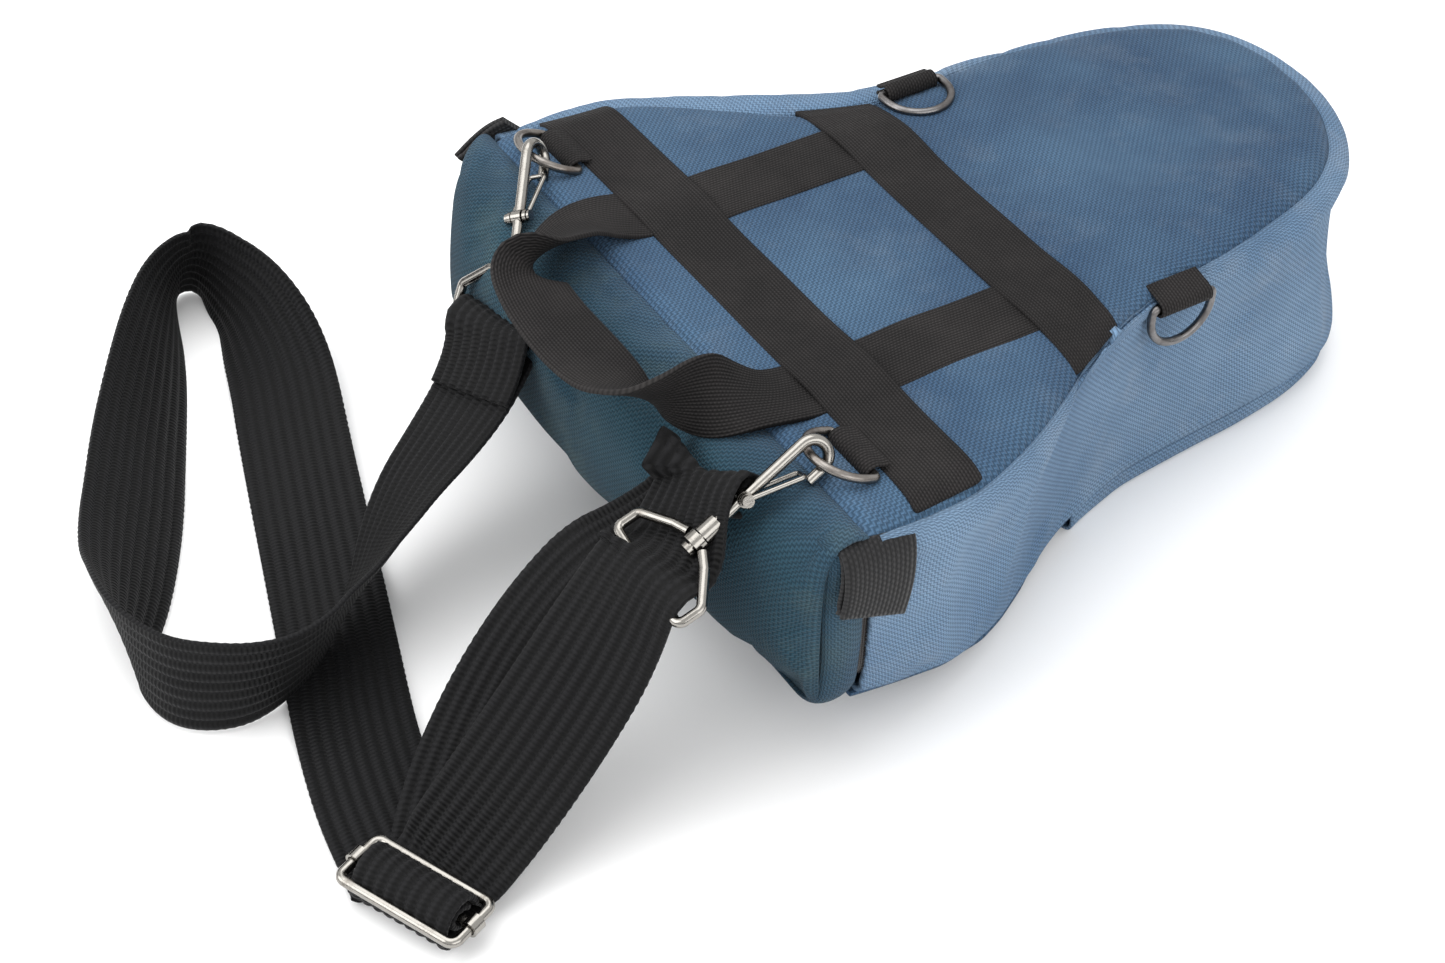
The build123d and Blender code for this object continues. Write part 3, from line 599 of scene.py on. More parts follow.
# ---- the bag's outline
# Going round from the near side of the mouth: the wall, and the back panel's seam beside it.
STATIONS = [(-116, -116.5, -116, -112.5), (-90, -117, -90, -113), (-76, -116, -77, -112),
            (-63, -112, -64.5, -108.5), (-46, -104.5, -47.5, -101.5), (-27, -94, -28.5, -91.2),
            (-12, -84.5, -13.5, -82), (12, -73.5, 11, -71), (38, -66, 37.5, -63), (67, -61.5, 66.5, -58),
            (85, -58.5, 84, -53.5), (100, -55.5, 98.5, -49.5), (113, -51.5, 110.5, -44.5),
            (124, -46, 119.5, -38.5), (133, -40, 126.5, -32.5), (141, -30, 133, -24),
            (148, -17, 139, -13.5), (152.5, -2, 142.8, 0), (154, 12, 144, 12), (152.5, 28, 143, 26),
            (147, 43, 138.5, 38), (138, 55, 131, 47.5), (125, 63.5, 121, 54), (110, 68.5, 108, 59.5),
            (95, 71, 94, 63), (67, 73, 67, 66.5), (45, 76, 43, 66), (25, 79.5, 22, 63.5), (9, 83, 5, 62),
            (-8, 90, -13, 67), (-25, 97.5, -32, 79.5), (-42, 106.5, -48, 92.5), (-58, 114, -62, 102),
            (-67, 117.5, -69.5, 105.5), (-76, 119, -77, 107.5), (-90, 119, -90, 108.5),
            (-116, 117.5, -116, 108.5)]


def normals_2d(line):
    """Outward directions of an outline that runs from its near side round to its far one."""
    tangent = unit(np.gradient(line, axis=0))
    return np.stack([tangent[:, 1], -tangent[:, 0]], axis=1)


PLAN = smooth_line(STATIONS, 3.6, 2)
WALL, SEAM = PLAN[:, :2], PLAN[:, 2:]
OUT = normals_2d(WALL)


def flare(x, z):
    """How far the wall stands out from its upper line: in at the lid end's base, out at the lens end's."""
    low = np.clip((82 - z) / 72, 0, 1) ** 1.2
    reach = np.interp(x, [-110, -60, -20, 30, 70, 110, 135, 150], [-6, -7, -6.5, -5, -2, 1, 4.5, 6.5])
    return low * reach


BASE = WALL + OUT * flare(WALL[:, 0], 9.0)[:, None]


def span(line, x):
    """The y of an outline's near and far sides at x."""
    middle = int(np.argmax(line[:, 0]))
    near, far = line[:middle + 1], line[middle:][::-1]
    return np.interp(x, near[:, 0], near[:, 1]), np.interp(x, far[:, 0], far[:, 1])


def distance_to(line, points):
    """Distance in plan from each point to a line."""
    flat = points.reshape(-1, 2)
    best = np.full(len(flat), 1e9)
    for a, b in zip(line[:-1], line[1:]):
        run = b - a
        t = np.clip(((flat - a) @ run) / (run @ run), 0, 1)
        best = np.minimum(best, np.linalg.norm(flat - a - t[:, None] * run, axis=1))
    return best.reshape(points.shape[:-1])


def back_height(points):
    """The back panel's height: puffed, dipping at its seam."""
    d = distance_to(SEAM, points)
    x = points[..., 0]
    z = 84.4 + 2.6 * (1 - np.exp(-d / 1.1)) + 3.8 * (1 - np.exp(-d / 5.0))
    z -= 2.6 * np.exp(-np.maximum(x + 115.5, 0) / 1.3) - 0.9 * np.exp(-((x + 112.2) / 2.2) ** 2)
    three = level(points, 0.0)
    z += 0.8 * sines(three, 46, 3) * (1 - np.exp(-d / 12))
    ripples = 0.45 * np.sin(np.arctan2(points[..., 1], x - 40) * 46 + sines(three, 30, 5) * 2)
    return z + ripples * np.exp(-d / 9) * (1 - np.exp(-d / 1.5))


def panel_grid(line, x_from, x_to, columns=64, rows=72):
    """A grid of plan points filling an outline from x_from to x_to or its end."""
    end = min(x_to, line[:, 0].max() - 0.05)
    bend = min(100.0, (x_from + end) / 2 + 40)
    closing = np.sin(np.linspace(0, math.pi / 2, 24)[1:])
    ts = np.concatenate([np.linspace(x_from, bend, rows), bend + (end - bend) * closing])
    across = 0.5 - 0.5 * np.cos(np.linspace(0, math.pi, columns))
    low, high = (side[:, None] for side in span(line, ts))
    return np.stack(np.broadcast_arrays(ts[:, None], low + (high - low) * across), axis=2)


def panel(name, grid, z, material, thick, offset):
    """A sheet over a grid of plan points, at the given heights."""
    return thicken(sheet_mesh(name, level(grid, z), material, uv=grid * MM), thick, offset, 1)


# ---- back panel
back_grid = panel_grid(SEAM, -115.5, 160)
seat(panel("back_panel_canvas", back_grid, back_height(back_grid), NAVY, 1.6, -1.0),
     "bag", "navy_canvas", "back_panel")

# ---- side walls of the body
# The rounded shoulder, from the back panel's seam (0) to the wall (1): part of the way, height.
SHOULDER = [(0.0, 84.0), (0.03, 85.9), (0.09, 87.2), (0.2, 87.9), (0.42, 87.7), (0.64, 86.4), (0.82, 84.2),
            (0.94, 81.4), (1.0, 78.0)]
WALL_TOP = 78.0


def base_height(x):
    """The lower edge of the body's wall, which rises towards the lid."""
    return np.interp(x, [-112, -84, -60, -45], [20.0, 15.0, 11.0, 9.0])


def body_gusset():
    """The side wall of canvas, from the back panel's seam to the front, with its slack."""
    keep = WALL[:, 0] >= -111.0
    wall, seam, out = WALL[keep], SEAM[keep], OUT[keep]
    x = wall[:, 0]
    rows = [level(seam + (wall - seam) * part, z) for part, z in SHOULDER]
    base = base_height(x)
    for t in np.linspace(0.04, 1, 26):
        z = WALL_TOP + (base + 2.5 - WALL_TOP) * t
        rows.append(level(wall + out * flare(x, z)[:, None], z))
    for inset, drop in ((0.7, 1.6), (2.0, 2.9), (3.8, 3.6), (6.0, 3.9)):
        z = base + 2.5 - drop
        rows.append(level(wall + out * (flare(x, z) - inset)[:, None], z))
    points = np.array(rows)
    depth = np.clip(np.minimum(86 - points[..., 2], points[..., 2] - 12) / 12, 0, 1)
    wave = sines(points * np.array([1, 1, 0.35]), 34, 11) + sines(points, 90, 12) * 1.2
    points = points + (wave * depth)[..., None] * level(out, 0.0)
    piece = sheet_mesh("body_gusset_canvas", points, NAVY_SIDE)
    weights = np.zeros(points.shape[:2])
    weights[:3] = weights[-4:] = 1
    weights[:, :1] = weights[:, -1:] = 1
    soft(piece, weights.ravel(), pressure=1.5, shrink=-0.015, limit=3.0)
    return thicken(piece, 1.8, 1.0, 1)


seat(body_gusset(), "bag", "navy_canvas", "body_gusset")
# A dark tube along the back seam: painted shade in the seam's groove.
seat(tube("back_seam_thread", [(x, y, 84.9) for x, y in SEAM], 0.45, SEAM_SHADE, 6), "bag", "navy_canvas")


def front_height(grid):
    """The front panel: it rests on the floor at the waist and rises towards the lid."""
    z = np.interp(grid[..., 0], [-112, -84, -66, -56, -44, -30, -22, -12, 160],
                  [18.0, 13.5, 8, 3.0, 1.2, 2.2, 6.2, 7.2, 7.2])
    edge = distance_to(BASE - OUT * 2.6, grid)
    return np.maximum(z + 2.2 * np.exp(-edge / 3.2) * np.clip((9.4 - z) / 6, 0, 1), 0.6)


front_grid = panel_grid(BASE - OUT * 3.0, -112, 160, 44)
seat(panel("front_panel_canvas", front_grid, front_height(front_grid), NAVY, 1.4, 1.0),
     "bag", "navy_canvas", "front_panel")


def pocket():
    """The flat bellows pocket under the lens half."""
    keep = WALL[:, 0] > 4.5
    line, out = BASE[keep], OUT[keep]
    section = ((5.0, 7.4), (3.4, 6.8), (2.8, 5.4), (2.6, 3.4), (2.9, 1.8), (4.2, 0.8), (6.0, 0.5), (9.0, 0.6))
    points = np.array([level(line - out * inset, z) for inset, z in section])
    points += (sines(points, 26, 31) * 0.5)[..., None] * np.array([0.6, 0.6, 0.0])
    points[..., 2] = np.maximum(points[..., 2], 0.4)
    return thicken(sheet_mesh("pocket_gusset_canvas", points, NAVY_SIDE), 1.2, -1.0, 1)


seat(pocket(), "bag", "navy_canvas", "pocket_gusset")
pocket_grid = panel_grid(BASE - OUT * 6.0, 4.4, 160, 40, 40)
pocket_z = 0.7 + 0.25 * (1 + sines(level(pocket_grid, 0.0), 40, 33))
seat(panel("pocket_panel_canvas", pocket_grid, pocket_z, NAVY, 1.2, 1.0),
     "bag", "navy_canvas", "pocket_panel")


def quilt(u, v, size=24.0, depth=1.4):
    """Puffed squares between stitch lines."""
    return depth * (np.abs(np.sin(math.pi * u / size)) * np.abs(np.sin(math.pi * v / size))) ** 0.35


def body_lining():
    """Padded lining: walls, floor and roof of the camera's space."""
    keep = WALL[:, 0] >= -108
    wall, out = WALL[keep], OUT[keep]
    x = wall[:, 0]
    lengths = run_lengths(wall)
    rows = []
    for t in np.linspace(0, 1, 40):
        z = 82.0 + (base_height(x) + 6.5 - 82.0) * t
        inset = 6.5 + quilt(lengths, z) + 5 * (2 * t - 1) ** 8 * (t > 0.5) + 3 * (1 - t) ** 6
        rows.append(level(wall + out * (np.minimum(flare(x, z), 0) - inset)[:, None], z))
    walls = sheet_mesh("lining_walls", np.array(rows), LINING)
    low = panel_grid(BASE - OUT * 9.0, -107, 160, 60, 90)
    floor_z = np.interp(low[..., 0], [-112, -84, -66, -45, 160], [25.0, 20.5, 16.5, 14.5, 14.5])
    floor_z = floor_z + quilt(low[..., 0], low[..., 1])
    bottom = sheet_mesh("lining_floor", level(low, floor_z), LINING, uv=low * MM)
    high = panel_grid(SEAM - OUT * 3.0, -107, 160, 60, 90)
    roof_z = 83.0 - quilt(high[..., 0], high[..., 1])
    top = sheet_mesh("lining_roof", level(high, roof_z), LINING, uv=high * MM)
    for part in (walls, bottom, top):
        thicken(part, 1.0, 0.0)
    return joined("body_lining_quilted", [walls, bottom, top])


lining = seat(body_lining(), "bag", "lining_nylon", "body_lining", "body_padding", "lens_end_pad")


# ---- lid
def lid_edge(z):
    """Half width of the lid's end at a height: straight sides, two rounded lower corners."""
    z = np.asarray(z, float)
    drop = np.clip(34 - z, 0, 12)
    return 101 + np.sqrt(np.maximum(144 - drop ** 2, 0))


# The lid's end from the hinge down, as x and z: at its two side seams, and where it bulges most.
SEAM_PROFILE = smooth_line([(-115.0, 86.2), (-116.0, 88.0), (-119, 88.8), (-125.6, 86.6), (-128.4, 79),
                            (-129, 64), (-128.6, 44), (-127.6, 30), (-124.5, 22.6)], 2.4)
BULGE_PROFILE = smooth_line([(-115.0, 86.6), (-116.2, 89.6), (-118.6, 91.4), (-122, 90.6), (-127, 90.6),
                             (-133.5, 88.0), (-139.6, 79), (-142.4, 64), (-142.0, 46), (-138, 32),
                             (-131, 23.5), (-124.5, 20.6)], 2.4)


def far_side_in(x, y):
    """The real lid's far side is drawn in towards its end."""
    t = np.clip((-116 - x) / 12, 0, 1)
    return y - np.where(y > 0, 8.0 * t * (np.abs(y) / 113) ** 1.5, 0)


def lid_end():
    """The lid's puffed end panel."""
    t = np.linspace(0, 1, 44)
    seam, bulge = (sampled(t * run_lengths(line)[-1], run_lengths(line), line)
                   for line in (SEAM_PROFILE, BULGE_PROFILE))
    s = np.sin(np.linspace(-math.pi / 2, math.pi / 2, 92))
    s = 0.55 * s + 0.45 * np.linspace(-1, 1, 92)
    b = (1 - np.abs(s) ** 5) ** 0.75
    profile = seam[:, None] * (1 - b[None, :, None]) + bulge[:, None] * b[None, :, None]
    half = lid_edge(profile[..., 1])
    y = far_side_in(profile[..., 0], half * s[None])
    points = np.stack([profile[..., 0], y, profile[..., 1]], axis=2)
    inner = b[None] * np.sin(np.pi * np.clip(t * 1.02, 0, 1))[:, None]
    points[..., 0] += inner * (sines(points, 70, 21) * 1.6 + sines(points, 30, 22) * 0.6)
    piece = sheet_mesh("lid_end_canvas", points, LID_BLUE, uv=grid_uv((t * 104)[:, None], y))
    weights = np.zeros(points.shape[:2])
    weights[:2] = weights[-2:] = 1
    weights[:, :2] = weights[:, -2:] = 1
    soft(piece, weights.ravel(), pressure=2.0, shrink=-0.02, limit=3.5)
    return thicken(piece, 1.8, 1.0, 1)


lid_skin = seat(lid_end(), "lid", "lid_canvas", "lid_end_panel", "lid_hinge_strip")
LID_TOP = places_of(lid_skin.data)
LID_TOP = LID_TOP[(LID_TOP[:, 0] > -0.1235) & (LID_TOP[:, 0] < -0.117) & (LID_TOP[:, 2] > 0.087)] / MM


def lid_rim(y_side, z_base, radius, top, step):
    """The line round the lid's mouth, from the near top corner under the lid to the far one."""
    side = [(-y_side + 6.0, top - 0.2), (-y_side + 2.2, top - 1.4)]
    side += [(-y_side, z) for z in np.linspace(top - 5.0, z_base + radius, 24)]
    corner = [(radius - y_side - radius * math.cos(a), z_base + radius - radius * math.sin(a))
              for a in np.linspace(0, math.pi / 2, 12)[1:]]
    base = [(y, z_base) for y in np.linspace(radius - y_side + 2, y_side - radius - 2, 70)]
    line = resample(side + corner + base + [(-y, z) for y, z in (side + corner)[::-1]], step)
    return line, normals_2d(line)


def lid_ring(x, plan):
    """One ring round the lid's mouth, at one x."""
    xs = np.full(len(plan), x)
    return np.stack([xs, far_side_in(xs, plan[:, 0]), plan[:, 1]], axis=1)


def lid_gusset():
    """The strip of canvas round the lid, between its end panel and its zip."""
    line, out = lid_rim(113, 22, 12, 88.0, 2.6)
    section = ((-128.6, -1.2), (-128.2, 0.5), (-126.6, 1.9), (-123.5, 2.8), (-120, 2.8), (-117.4, 2.3),
               (-115.4, 1.6), (-114.4, 0.6), (-114.9, -0.8))
    points = np.array([lid_ring(x, line + out * puff) for x, puff in section])
    points[..., 0] += sines(points, 28, 41) * 0.5
    points += (sines(points, 40, 42) * 0.8)[..., None] * np.array([0.0, 1.0, 0.4])
    return thicken(sheet_mesh("lid_gusset_canvas", points, LID_BLUE), 1.6, -1.0, 1)


seat(lid_gusset(), "lid", "lid_canvas", "lid_gusset")


def on_lid(y, x=-119.0):
    """Where the lid's top is, from its mesh."""
    return LID_TOP[int(np.argmin((LID_TOP[:, 0] - x) ** 2 * 4 + (LID_TOP[:, 1] - y) ** 2))]


def lid_lining():
    """A shallow padded dish inside the lid."""
    rows = []
    for inset, x in ((4.5, -114.5), (5.0, -120), (6.0, -125), (9.0, -128.5), (16.0, -131.0), (26.0, -132.5)):
        line, _ = lid_rim(113 - inset, 22 + inset, 9, 85.5 - inset, 3.0)
        rows.append(lid_ring(x, stretched(line, 150)))
    dish = thicken(sheet_mesh("lid_dish", np.array(rows), LINING), 1.0, 0.0)
    ys, zs = np.meshgrid(np.linspace(-88, 82, 70), np.linspace(46, 62, 12))
    x = -132.4 + quilt(ys, zs)
    zs = 47 + (zs - 46) * 0.85
    middle = thicken(sheet_mesh("lid_dish_middle", np.stack([x, ys, zs], axis=2), LINING), 1.0, 0.0)
    return joined("lid_lining_quilted", [dish, middle])


lid_pad = seat(lid_lining(), "lid", "lining_nylon", "lid_lining", "lid_padding")


ZIP_RIM = (110.9, 24.3, 10.3)      # the zip's course round the mouth: half width, base, corner radius


def zip_tape(name, x_low, x_high):
    """One side of the lid's zip tape."""
    step = 2.4
    line, _ = lid_rim(*ZIP_RIM, 86.5, step)
    xs = np.linspace(x_low, x_high, 5)[:, None]
    points = np.stack(np.broadcast_arrays(xs, line[:, 0], line[:, 1]), axis=2)
    return thicken(sheet_mesh(name, points, TAPE, uv=grid_uv(np.arange(len(line)) * step, xs)), 0.7, 0.0)


def coil_part(name, x):
    """A row of zip teeth as a wound coil."""
    line, out = lid_rim(*ZIP_RIM, 84.0, 0.32)
    turn = np.arange(len(line)) * 2 * math.pi / 5
    plan = line + out * (0.55 * np.sin(turn))[:, None]
    points = np.stack([x + 0.36 * np.cos(turn), plan[:, 0], plan[:, 1]], axis=1)
    return tube(name, points, 0.26, COIL, 4)


seat(zip_tape("lid_zip_tape_woven", -123, -111.2), "lid", "zip_tape_brown", "lid_zip_tape")
seat(zip_tape("body_zip_tape_woven", -108.8, -97.4), "bag", "zip_tape_brown", "body_zip_tape")
seat(coil_part("lid_zip_teeth", -111.0), "lid", "zip_coil_black", "lid_zip_coil")
seat(coil_part("body_zip_teeth", -109.0), "bag", "zip_coil_black", "body_zip_coil")

hinge = np.array([on_lid(y) for y in np.linspace(-106, 104, 90)])
hinge[:, 1] = np.linspace(-106, 104, 90)
hinge[:, 0] = -118.6
hinge[:, 2] = np.convolve(np.pad(hinge[:, 2], 4, mode="edge"), np.ones(9) / 9, mode="valid") + 0.15
seat(stitches("hinge_stitches", hinge, 2.6, 1.9, 0.24, 0.25), "lid", "lid_canvas")


# ---- webbing on the back panel
BAND_ROWS = 110
BACK_STRAPS = (("far", 42.0), ("near", -54.0))      # the straps that run along the back, and their y


def band(name, x, node):
    """A band across the bag: its ends are sewn into the seams, so they're cut to the seam's slope."""
    low, high = span(SEAM, x + np.array([-WEBBING / 2, WEBBING / 2]))
    t, parts = np.linspace(0, 1, BAND_ROWS), np.linspace(0, 1, 9)
    left, right = low[0] + (high[0] - low[0]) * t, low[1] + (high[1] - low[1]) * t

    def row(part):
        xs = np.full(BAND_ROWS, x + WEBBING * (part - 0.5))
        return np.stack([xs, left + (right - left) * part], axis=1)

    under = [back_height(row(part)) for part in parts]
    over = sum(np.exp(-((left + right) / 2 - y) ** 2 / 160) for _, y in BACK_STRAPS)
    top = np.max(under, axis=0) + 1.15 + 1.3 * over
    top = np.maximum(top, np.convolve(np.pad(top, 3, mode="edge"), np.ones(7) / 7, mode="valid"))
    from_end = np.minimum(np.arange(BAND_ROWS), BAND_ROWS - 1 - np.arange(BAND_ROWS))
    top += 0.5 * np.exp(-(from_end / 5.0) ** 2)
    grid = np.stack([level(row(part), top - 0.35 * (1 - (2 * part - 1) ** 2)) for part in parts], axis=1)
    uv = grid_uv(((left + right) / 2)[:, None], WEBBING * parts[None])
    piece = sheet_mesh(name, grid, CHARCOAL, uv=uv)
    return seat(thicken(piece, 1.5, 0.0, 1), "bag", "charcoal_webbing", node)


band("band_upper_webbing", -85.5, "band_upper")
band("band_lower_webbing", -7.5, "band_lower")
for side, y in BACK_STRAPS:
    plan = np.stack([np.linspace(-74.5, -18.5, 40), np.full(40, y)], axis=1)
    piece = ribbon(f"back_strap_{side}_webbing", level(plan, back_height(plan) + 1.3),
                   np.tile([0, 1.0, 0], (40, 1)), WEBBING, 1.7, CHARCOAL)
    seat(piece, "bag", "charcoal_webbing", f"back_strap_{side}")

# Each station is the middle of the webbing and the direction of one of its edges.
HANDLE = np.array([
    (-82, 45, 91.5, 0, 1, 0), (-92, 45, 91.6, 0, 1, 0), (-100, 46, 92.6, 0.05, 1, 0),
    (-108.5, 46.6, 94.6, 0.16, 0.99, -0.06), (-119, 44.9, 97, 0.2, 0.96, -0.21),
    (-130.8, 39.5, 98.5, 0.25, 0.88, -0.4), (-139.3, 35.7, 99, 0.36, 0.79, -0.49),
    (-146, 29.9, 99.2, 0.53, 0.77, -0.37), (-148.4, 21, 99.2, 0.73, 0.67, -0.17),
    (-150, 9.5, 99, 0.82, 0.57, -0.11), (-150.2, -4.2, 98.5, 0.86, 0.51, -0.04),
    (-149.8, -18, 98.5, 0.88, 0.47, -0.04), (-148.7, -30, 98.5, 0.87, 0.47, -0.16),
    (-146, -38.5, 99, 0.74, 0.42, -0.52), (-140.2, -43.6, 99.8, 0.48, 0.12, -0.85),
    (-131, -47.6, 99.8, 0.28, -0.5, -0.75), (-121, -51, 97.6, 0.12, -0.93, -0.3),
    (-110, -54, 94.8, 0, -1, -0.02), (-101, -54, 92.6, 0, -1, 0), (-92, -54, 91.6, 0, -1, 0),
    (-82, -54, 91.5, 0, -1, 0)])


def handle():
    """The carry handle, which lies over the lid and turns over twice."""
    centre = stretched(smooth_line(HANDLE[:, :3], 2.0), 150)
    edge = stretched(smooth_line(HANDLE[:, :3] + WEBBING / 2 * unit(HANDLE[:, 3:]), 2.0), 150)
    return ribbon("carry_handle_webbing", centre, edge - centre, WEBBING, 1.8, CHARCOAL)


seat(handle(), "handle", "charcoal_webbing", "carry_handle")


# ---- shoulder strap
# The edge's direction wherever the strap passes round or through the slide adjuster.
SLIDER_WAY = (0.4, -0.917, 0)
# Each station is the middle of the strap and the direction of one edge, which is the top edge
# where the strap stands on its other edge. They run from the far ring to the slider's bar.
STRAP_RUN = np.array([
    (-165, 34.2, 54.6, 0.22, -0.93, 0.28), (-160, 36.8, 59, 0.2, -0.94, 0.25),
    (-154.8, 41.2, 65.6, 0.16, -0.96, 0.18), (-151.4, 45.2, 70.4, 0.16, -0.96, 0.15),
    (-145.6, 46.4, 70.2, 0.16, -0.96, 0.15), (-145.6, 46, 64, 0.16, -0.96, 0.15),
    (-151.4, 42.4, 61.4, 0.2, -0.94, 0.22), (-158.4, 37.6, 56.6, 0.24, -0.93, 0.28),
    (-166, 33.6, 51.4, 0.23, -0.92, 0.3), (-177, 29.5, 44.5, 0.2, -0.91, 0.35),
    (-191, 24.5, 37, 0.05, -0.92, 0.38), (-205, 15.5, 29.5, -0.11, -0.88, 0.46),
    (-217, 6, 23.6, -0.17, -0.74, 0.65), (-228, -1.5, 20.6, -0.2, -0.6, 0.77),
    (-240, -10, 19.8, -0.12, -0.44, 0.89), (-253, -15, 19.6, -0.04, -0.28, 0.96),
    (-266, -15, 19.8, 0.03, -0.12, 0.99), (-277, -10.5, 20, 0.05, -0.03, 1), (-286, -3, 20, 0.03, 0, 1),
    (-290.5, 8, 20, -0.03, 0.02, 1), (-291.5, 19, 19.8, -0.12, 0.03, 0.99),
    (-288.5, 31, 19, -0.32, 0.08, 0.94), (-281, 47, 16.6, -0.58, 0.26, 0.76),
    (-271, 67, 14.2, -0.75, 0.15, 0.64), (-262, 84, 13.2, -0.79, 0.05, 0.61),
    (-250, 108, 13.2, -0.78, -0.1, 0.61), (-235, 135, 14.4, -0.71, -0.22, 0.67),
    (-222, 158, 15.8, -0.6, -0.32, 0.73), (-211, 175.5, 17.2, -0.42, -0.4, 0.82),
    (-202.5, 184.5, 18.8, -0.12, -0.38, 0.92), (-196, 185.5, 19, 0.11, -0.34, 0.94),
    (-191.5, 179, 18.2, 0.27, -0.36, 0.89), (-188.5, 168, 15.8, 0.43, -0.44, 0.78),
    (-187, 157, 13.2, 0.56, -0.46, 0.66), (-187.5, 142, 9.4, 0.74, -0.42, 0.42),
    (-191, 124, 5.2, 0.87, -0.38, 0.2), (-199.5, 98, 2.6, 0.93, -0.34, 0.05),
    (-213.5, 54, 1.8, 0.95, -0.31, 0), (-228, 8, 1.7, 0.95, -0.31, 0), (-240, -28, 1.7, 0.95, -0.32, 0),
    (-247, -55, 1.8, 0.95, -0.31, 0), (-250, -71, 1.9, 0.92, -0.38, 0), (-251.5, -84, 2, 0.82, -0.57, 0),
    (-254, -95, 2, 0.62, -0.78, 0), (-259, -103.2, 2.2, 0.42, -0.907, 0),
    (-264.2, -106.2, 3.4, *SLIDER_WAY), (-264, -106.2, 10.5, *SLIDER_WAY),
    (-260.6, -104.7, 15.4, *SLIDER_WAY), (-255, -102.3, 16.6, *SLIDER_WAY),
    (-251.3, -100.6, 13.2, *SLIDER_WAY), (-250.2, -100, 8.4, *SLIDER_WAY),
    (-247.6, -98.8, 6.7, *SLIDER_WAY), (-243.6, -98, 8, 0.41, -0.91, -0.03),
    (-237, -97, 13.6, 0.44, -0.88, -0.1), (-226, -95.5, 23.2, 0.47, -0.85, -0.22),
    (-210, -92.5, 37.6, 0.47, -0.83, -0.28), (-194, -89, 53, 0.38, -0.89, -0.24),
    (-182, -86, 66.4, 0.2, -0.97, -0.12), (-174, -84.6, 77.6, 0.06, -1, 0),
    (-169.6, -84.2, 80.6, 0.04, -1, 0.02), (-163.5, -81, 77.8, 0.05, -0.98, 0.1),
    (-156.5, -76.5, 79, 0.04, -0.97, 0.2), (-149.5, -71.5, 83.8, 0.02, -0.95, 0.3),
    (-143, -67.5, 89.5, 0, -0.94, 0.35), (-140, -65.5, 88.8, 0, -0.94, 0.35),
    (-142.4, -65.5, 82.4, 0.02, -0.95, 0.31), (-150, -66, 76.6, 0.06, -0.96, 0.24),
    (-159, -66, 71.8, 0.12, -0.98, 0.12), (-173, -65.4, 67, 0.18, -0.98, 0),
    (-186, -63.8, 54.4, 0.22, -0.97, -0.04), (-200.5, -65.2, 39.4, 0.28, -0.96, -0.08),
    (-216, -71, 24.4, 0.34, -0.93, -0.1), (-230, -80, 12.4, 0.38, -0.92, -0.05),
    (-239, -90, 6.4, 0.39, -0.92, 0), (-244, -97, 4.4, *SLIDER_WAY), (-250, -99.9, 4.6, *SLIDER_WAY),
    (-254.6, -101.9, 6.2, *SLIDER_WAY), (-259.4, -104, 6.8, *SLIDER_WAY), (-260.8, -104.6, 12, *SLIDER_WAY),
    (-256.4, -102.8, 13.8, *SLIDER_WAY), (-253.2, -101.4, 10.8, *SLIDER_WAY)])


def spline_points(points, name):
    """Points along a smooth curve with these control points, in millimetres."""
    curve = new_curve(name)
    spline = add_spline(curve, "NURBS", points)
    spline.order_u = 3
    spline.use_endpoint_u = True
    spline.resolution_u = 10
    mesh = curve_mesh(name, curve)
    result = places_of(mesh) / MM
    bpy.data.meshes.remove(mesh)
    return result


def shoulder_strap():
    """The ribbed strap, all of one piece, along the curve through its stations."""
    middle = spline_points(STRAP_RUN[:, :3], "strap_route")
    across = spline_points(STRAP_RUN[:, :3] + STRAP_HALF * unit(STRAP_RUN[:, 3:]), "strap_edge") - middle
    lengths = run_lengths(middle)
    step = 1.4
    at = np.linspace(0, lengths[-1], int(lengths[-1] / step))
    line, wide = sampled(at, lengths, middle), sampled(at, lengths, across)
    scallop = 1 + 0.007 * np.sin(np.arange(len(line)) * step * 2 * math.pi / 2.9)
    slope = np.abs(unit(wide)[:, 2])
    clear_of_floor = slope * (STRAP_WIDTH / 2 - 0.1) + 1.3 * np.sqrt(1 - slope ** 2) + 0.5
    line[:, 2] = np.maximum(line[:, 2], clear_of_floor)
    from_slider = np.linalg.norm(line - SLIDER_MIDDLE, axis=1)
    scallop *= 1 - 0.09 * np.exp(-((from_slider / 13.0) ** 4))
    piece = ribbon("shoulder_strap_webbing", line, wide, STRAP_WIDTH, STRAP_THICK, STRAP, ribs=9,
                   rib_depth=0.8, edge=scallop)
    keep_on_floor(piece, ON_FLOOR)
    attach(piece, "strap_set")
    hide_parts("strap_far_loop", "strap_main", "strap_slider_wrap", "strap_sewn_end",
                "strap_near_fold", "strap_upper_leg", "strap_lower_leg")


shoulder_strap()


# ---- webbing round the D-rings
def ring_loop(node, bar, along, tail, reach, drop):
    """Webbing folded round a ring's bar, its two layers running to a seam."""
    bar, along, tail = np.array(bar, float), unit(along), unit(tail)
    up = unit(np.cross(along, tail))
    if up[2] < 0 or (abs(up[2]) < 0.3 and up[1] > 0):
        up = -up
    radius = 2.5
    path = [bar + tail * reach + up * (radius - drop), bar + tail * reach * 0.6 + up * (radius - drop * 0.7),
            bar + tail * reach * 0.25 + up * (radius + 0.1)]
    path += [bar + radius * (up * math.cos(a) - tail * math.sin(a)) for a in np.linspace(0, math.pi, 12)]
    path += [bar + tail * reach * 0.3 - up * (radius - 0.2), bar + tail * reach - up * (radius - 0.4)]
    line = smooth_line(path, 0.5, 2)
    piece = ribbon(node + "_webbing", line, np.tile(along, (len(line), 1)), RING_WEBBING, 1.0, CHARCOAL)
    return seat(piece, "bag", "charcoal_webbing", node)


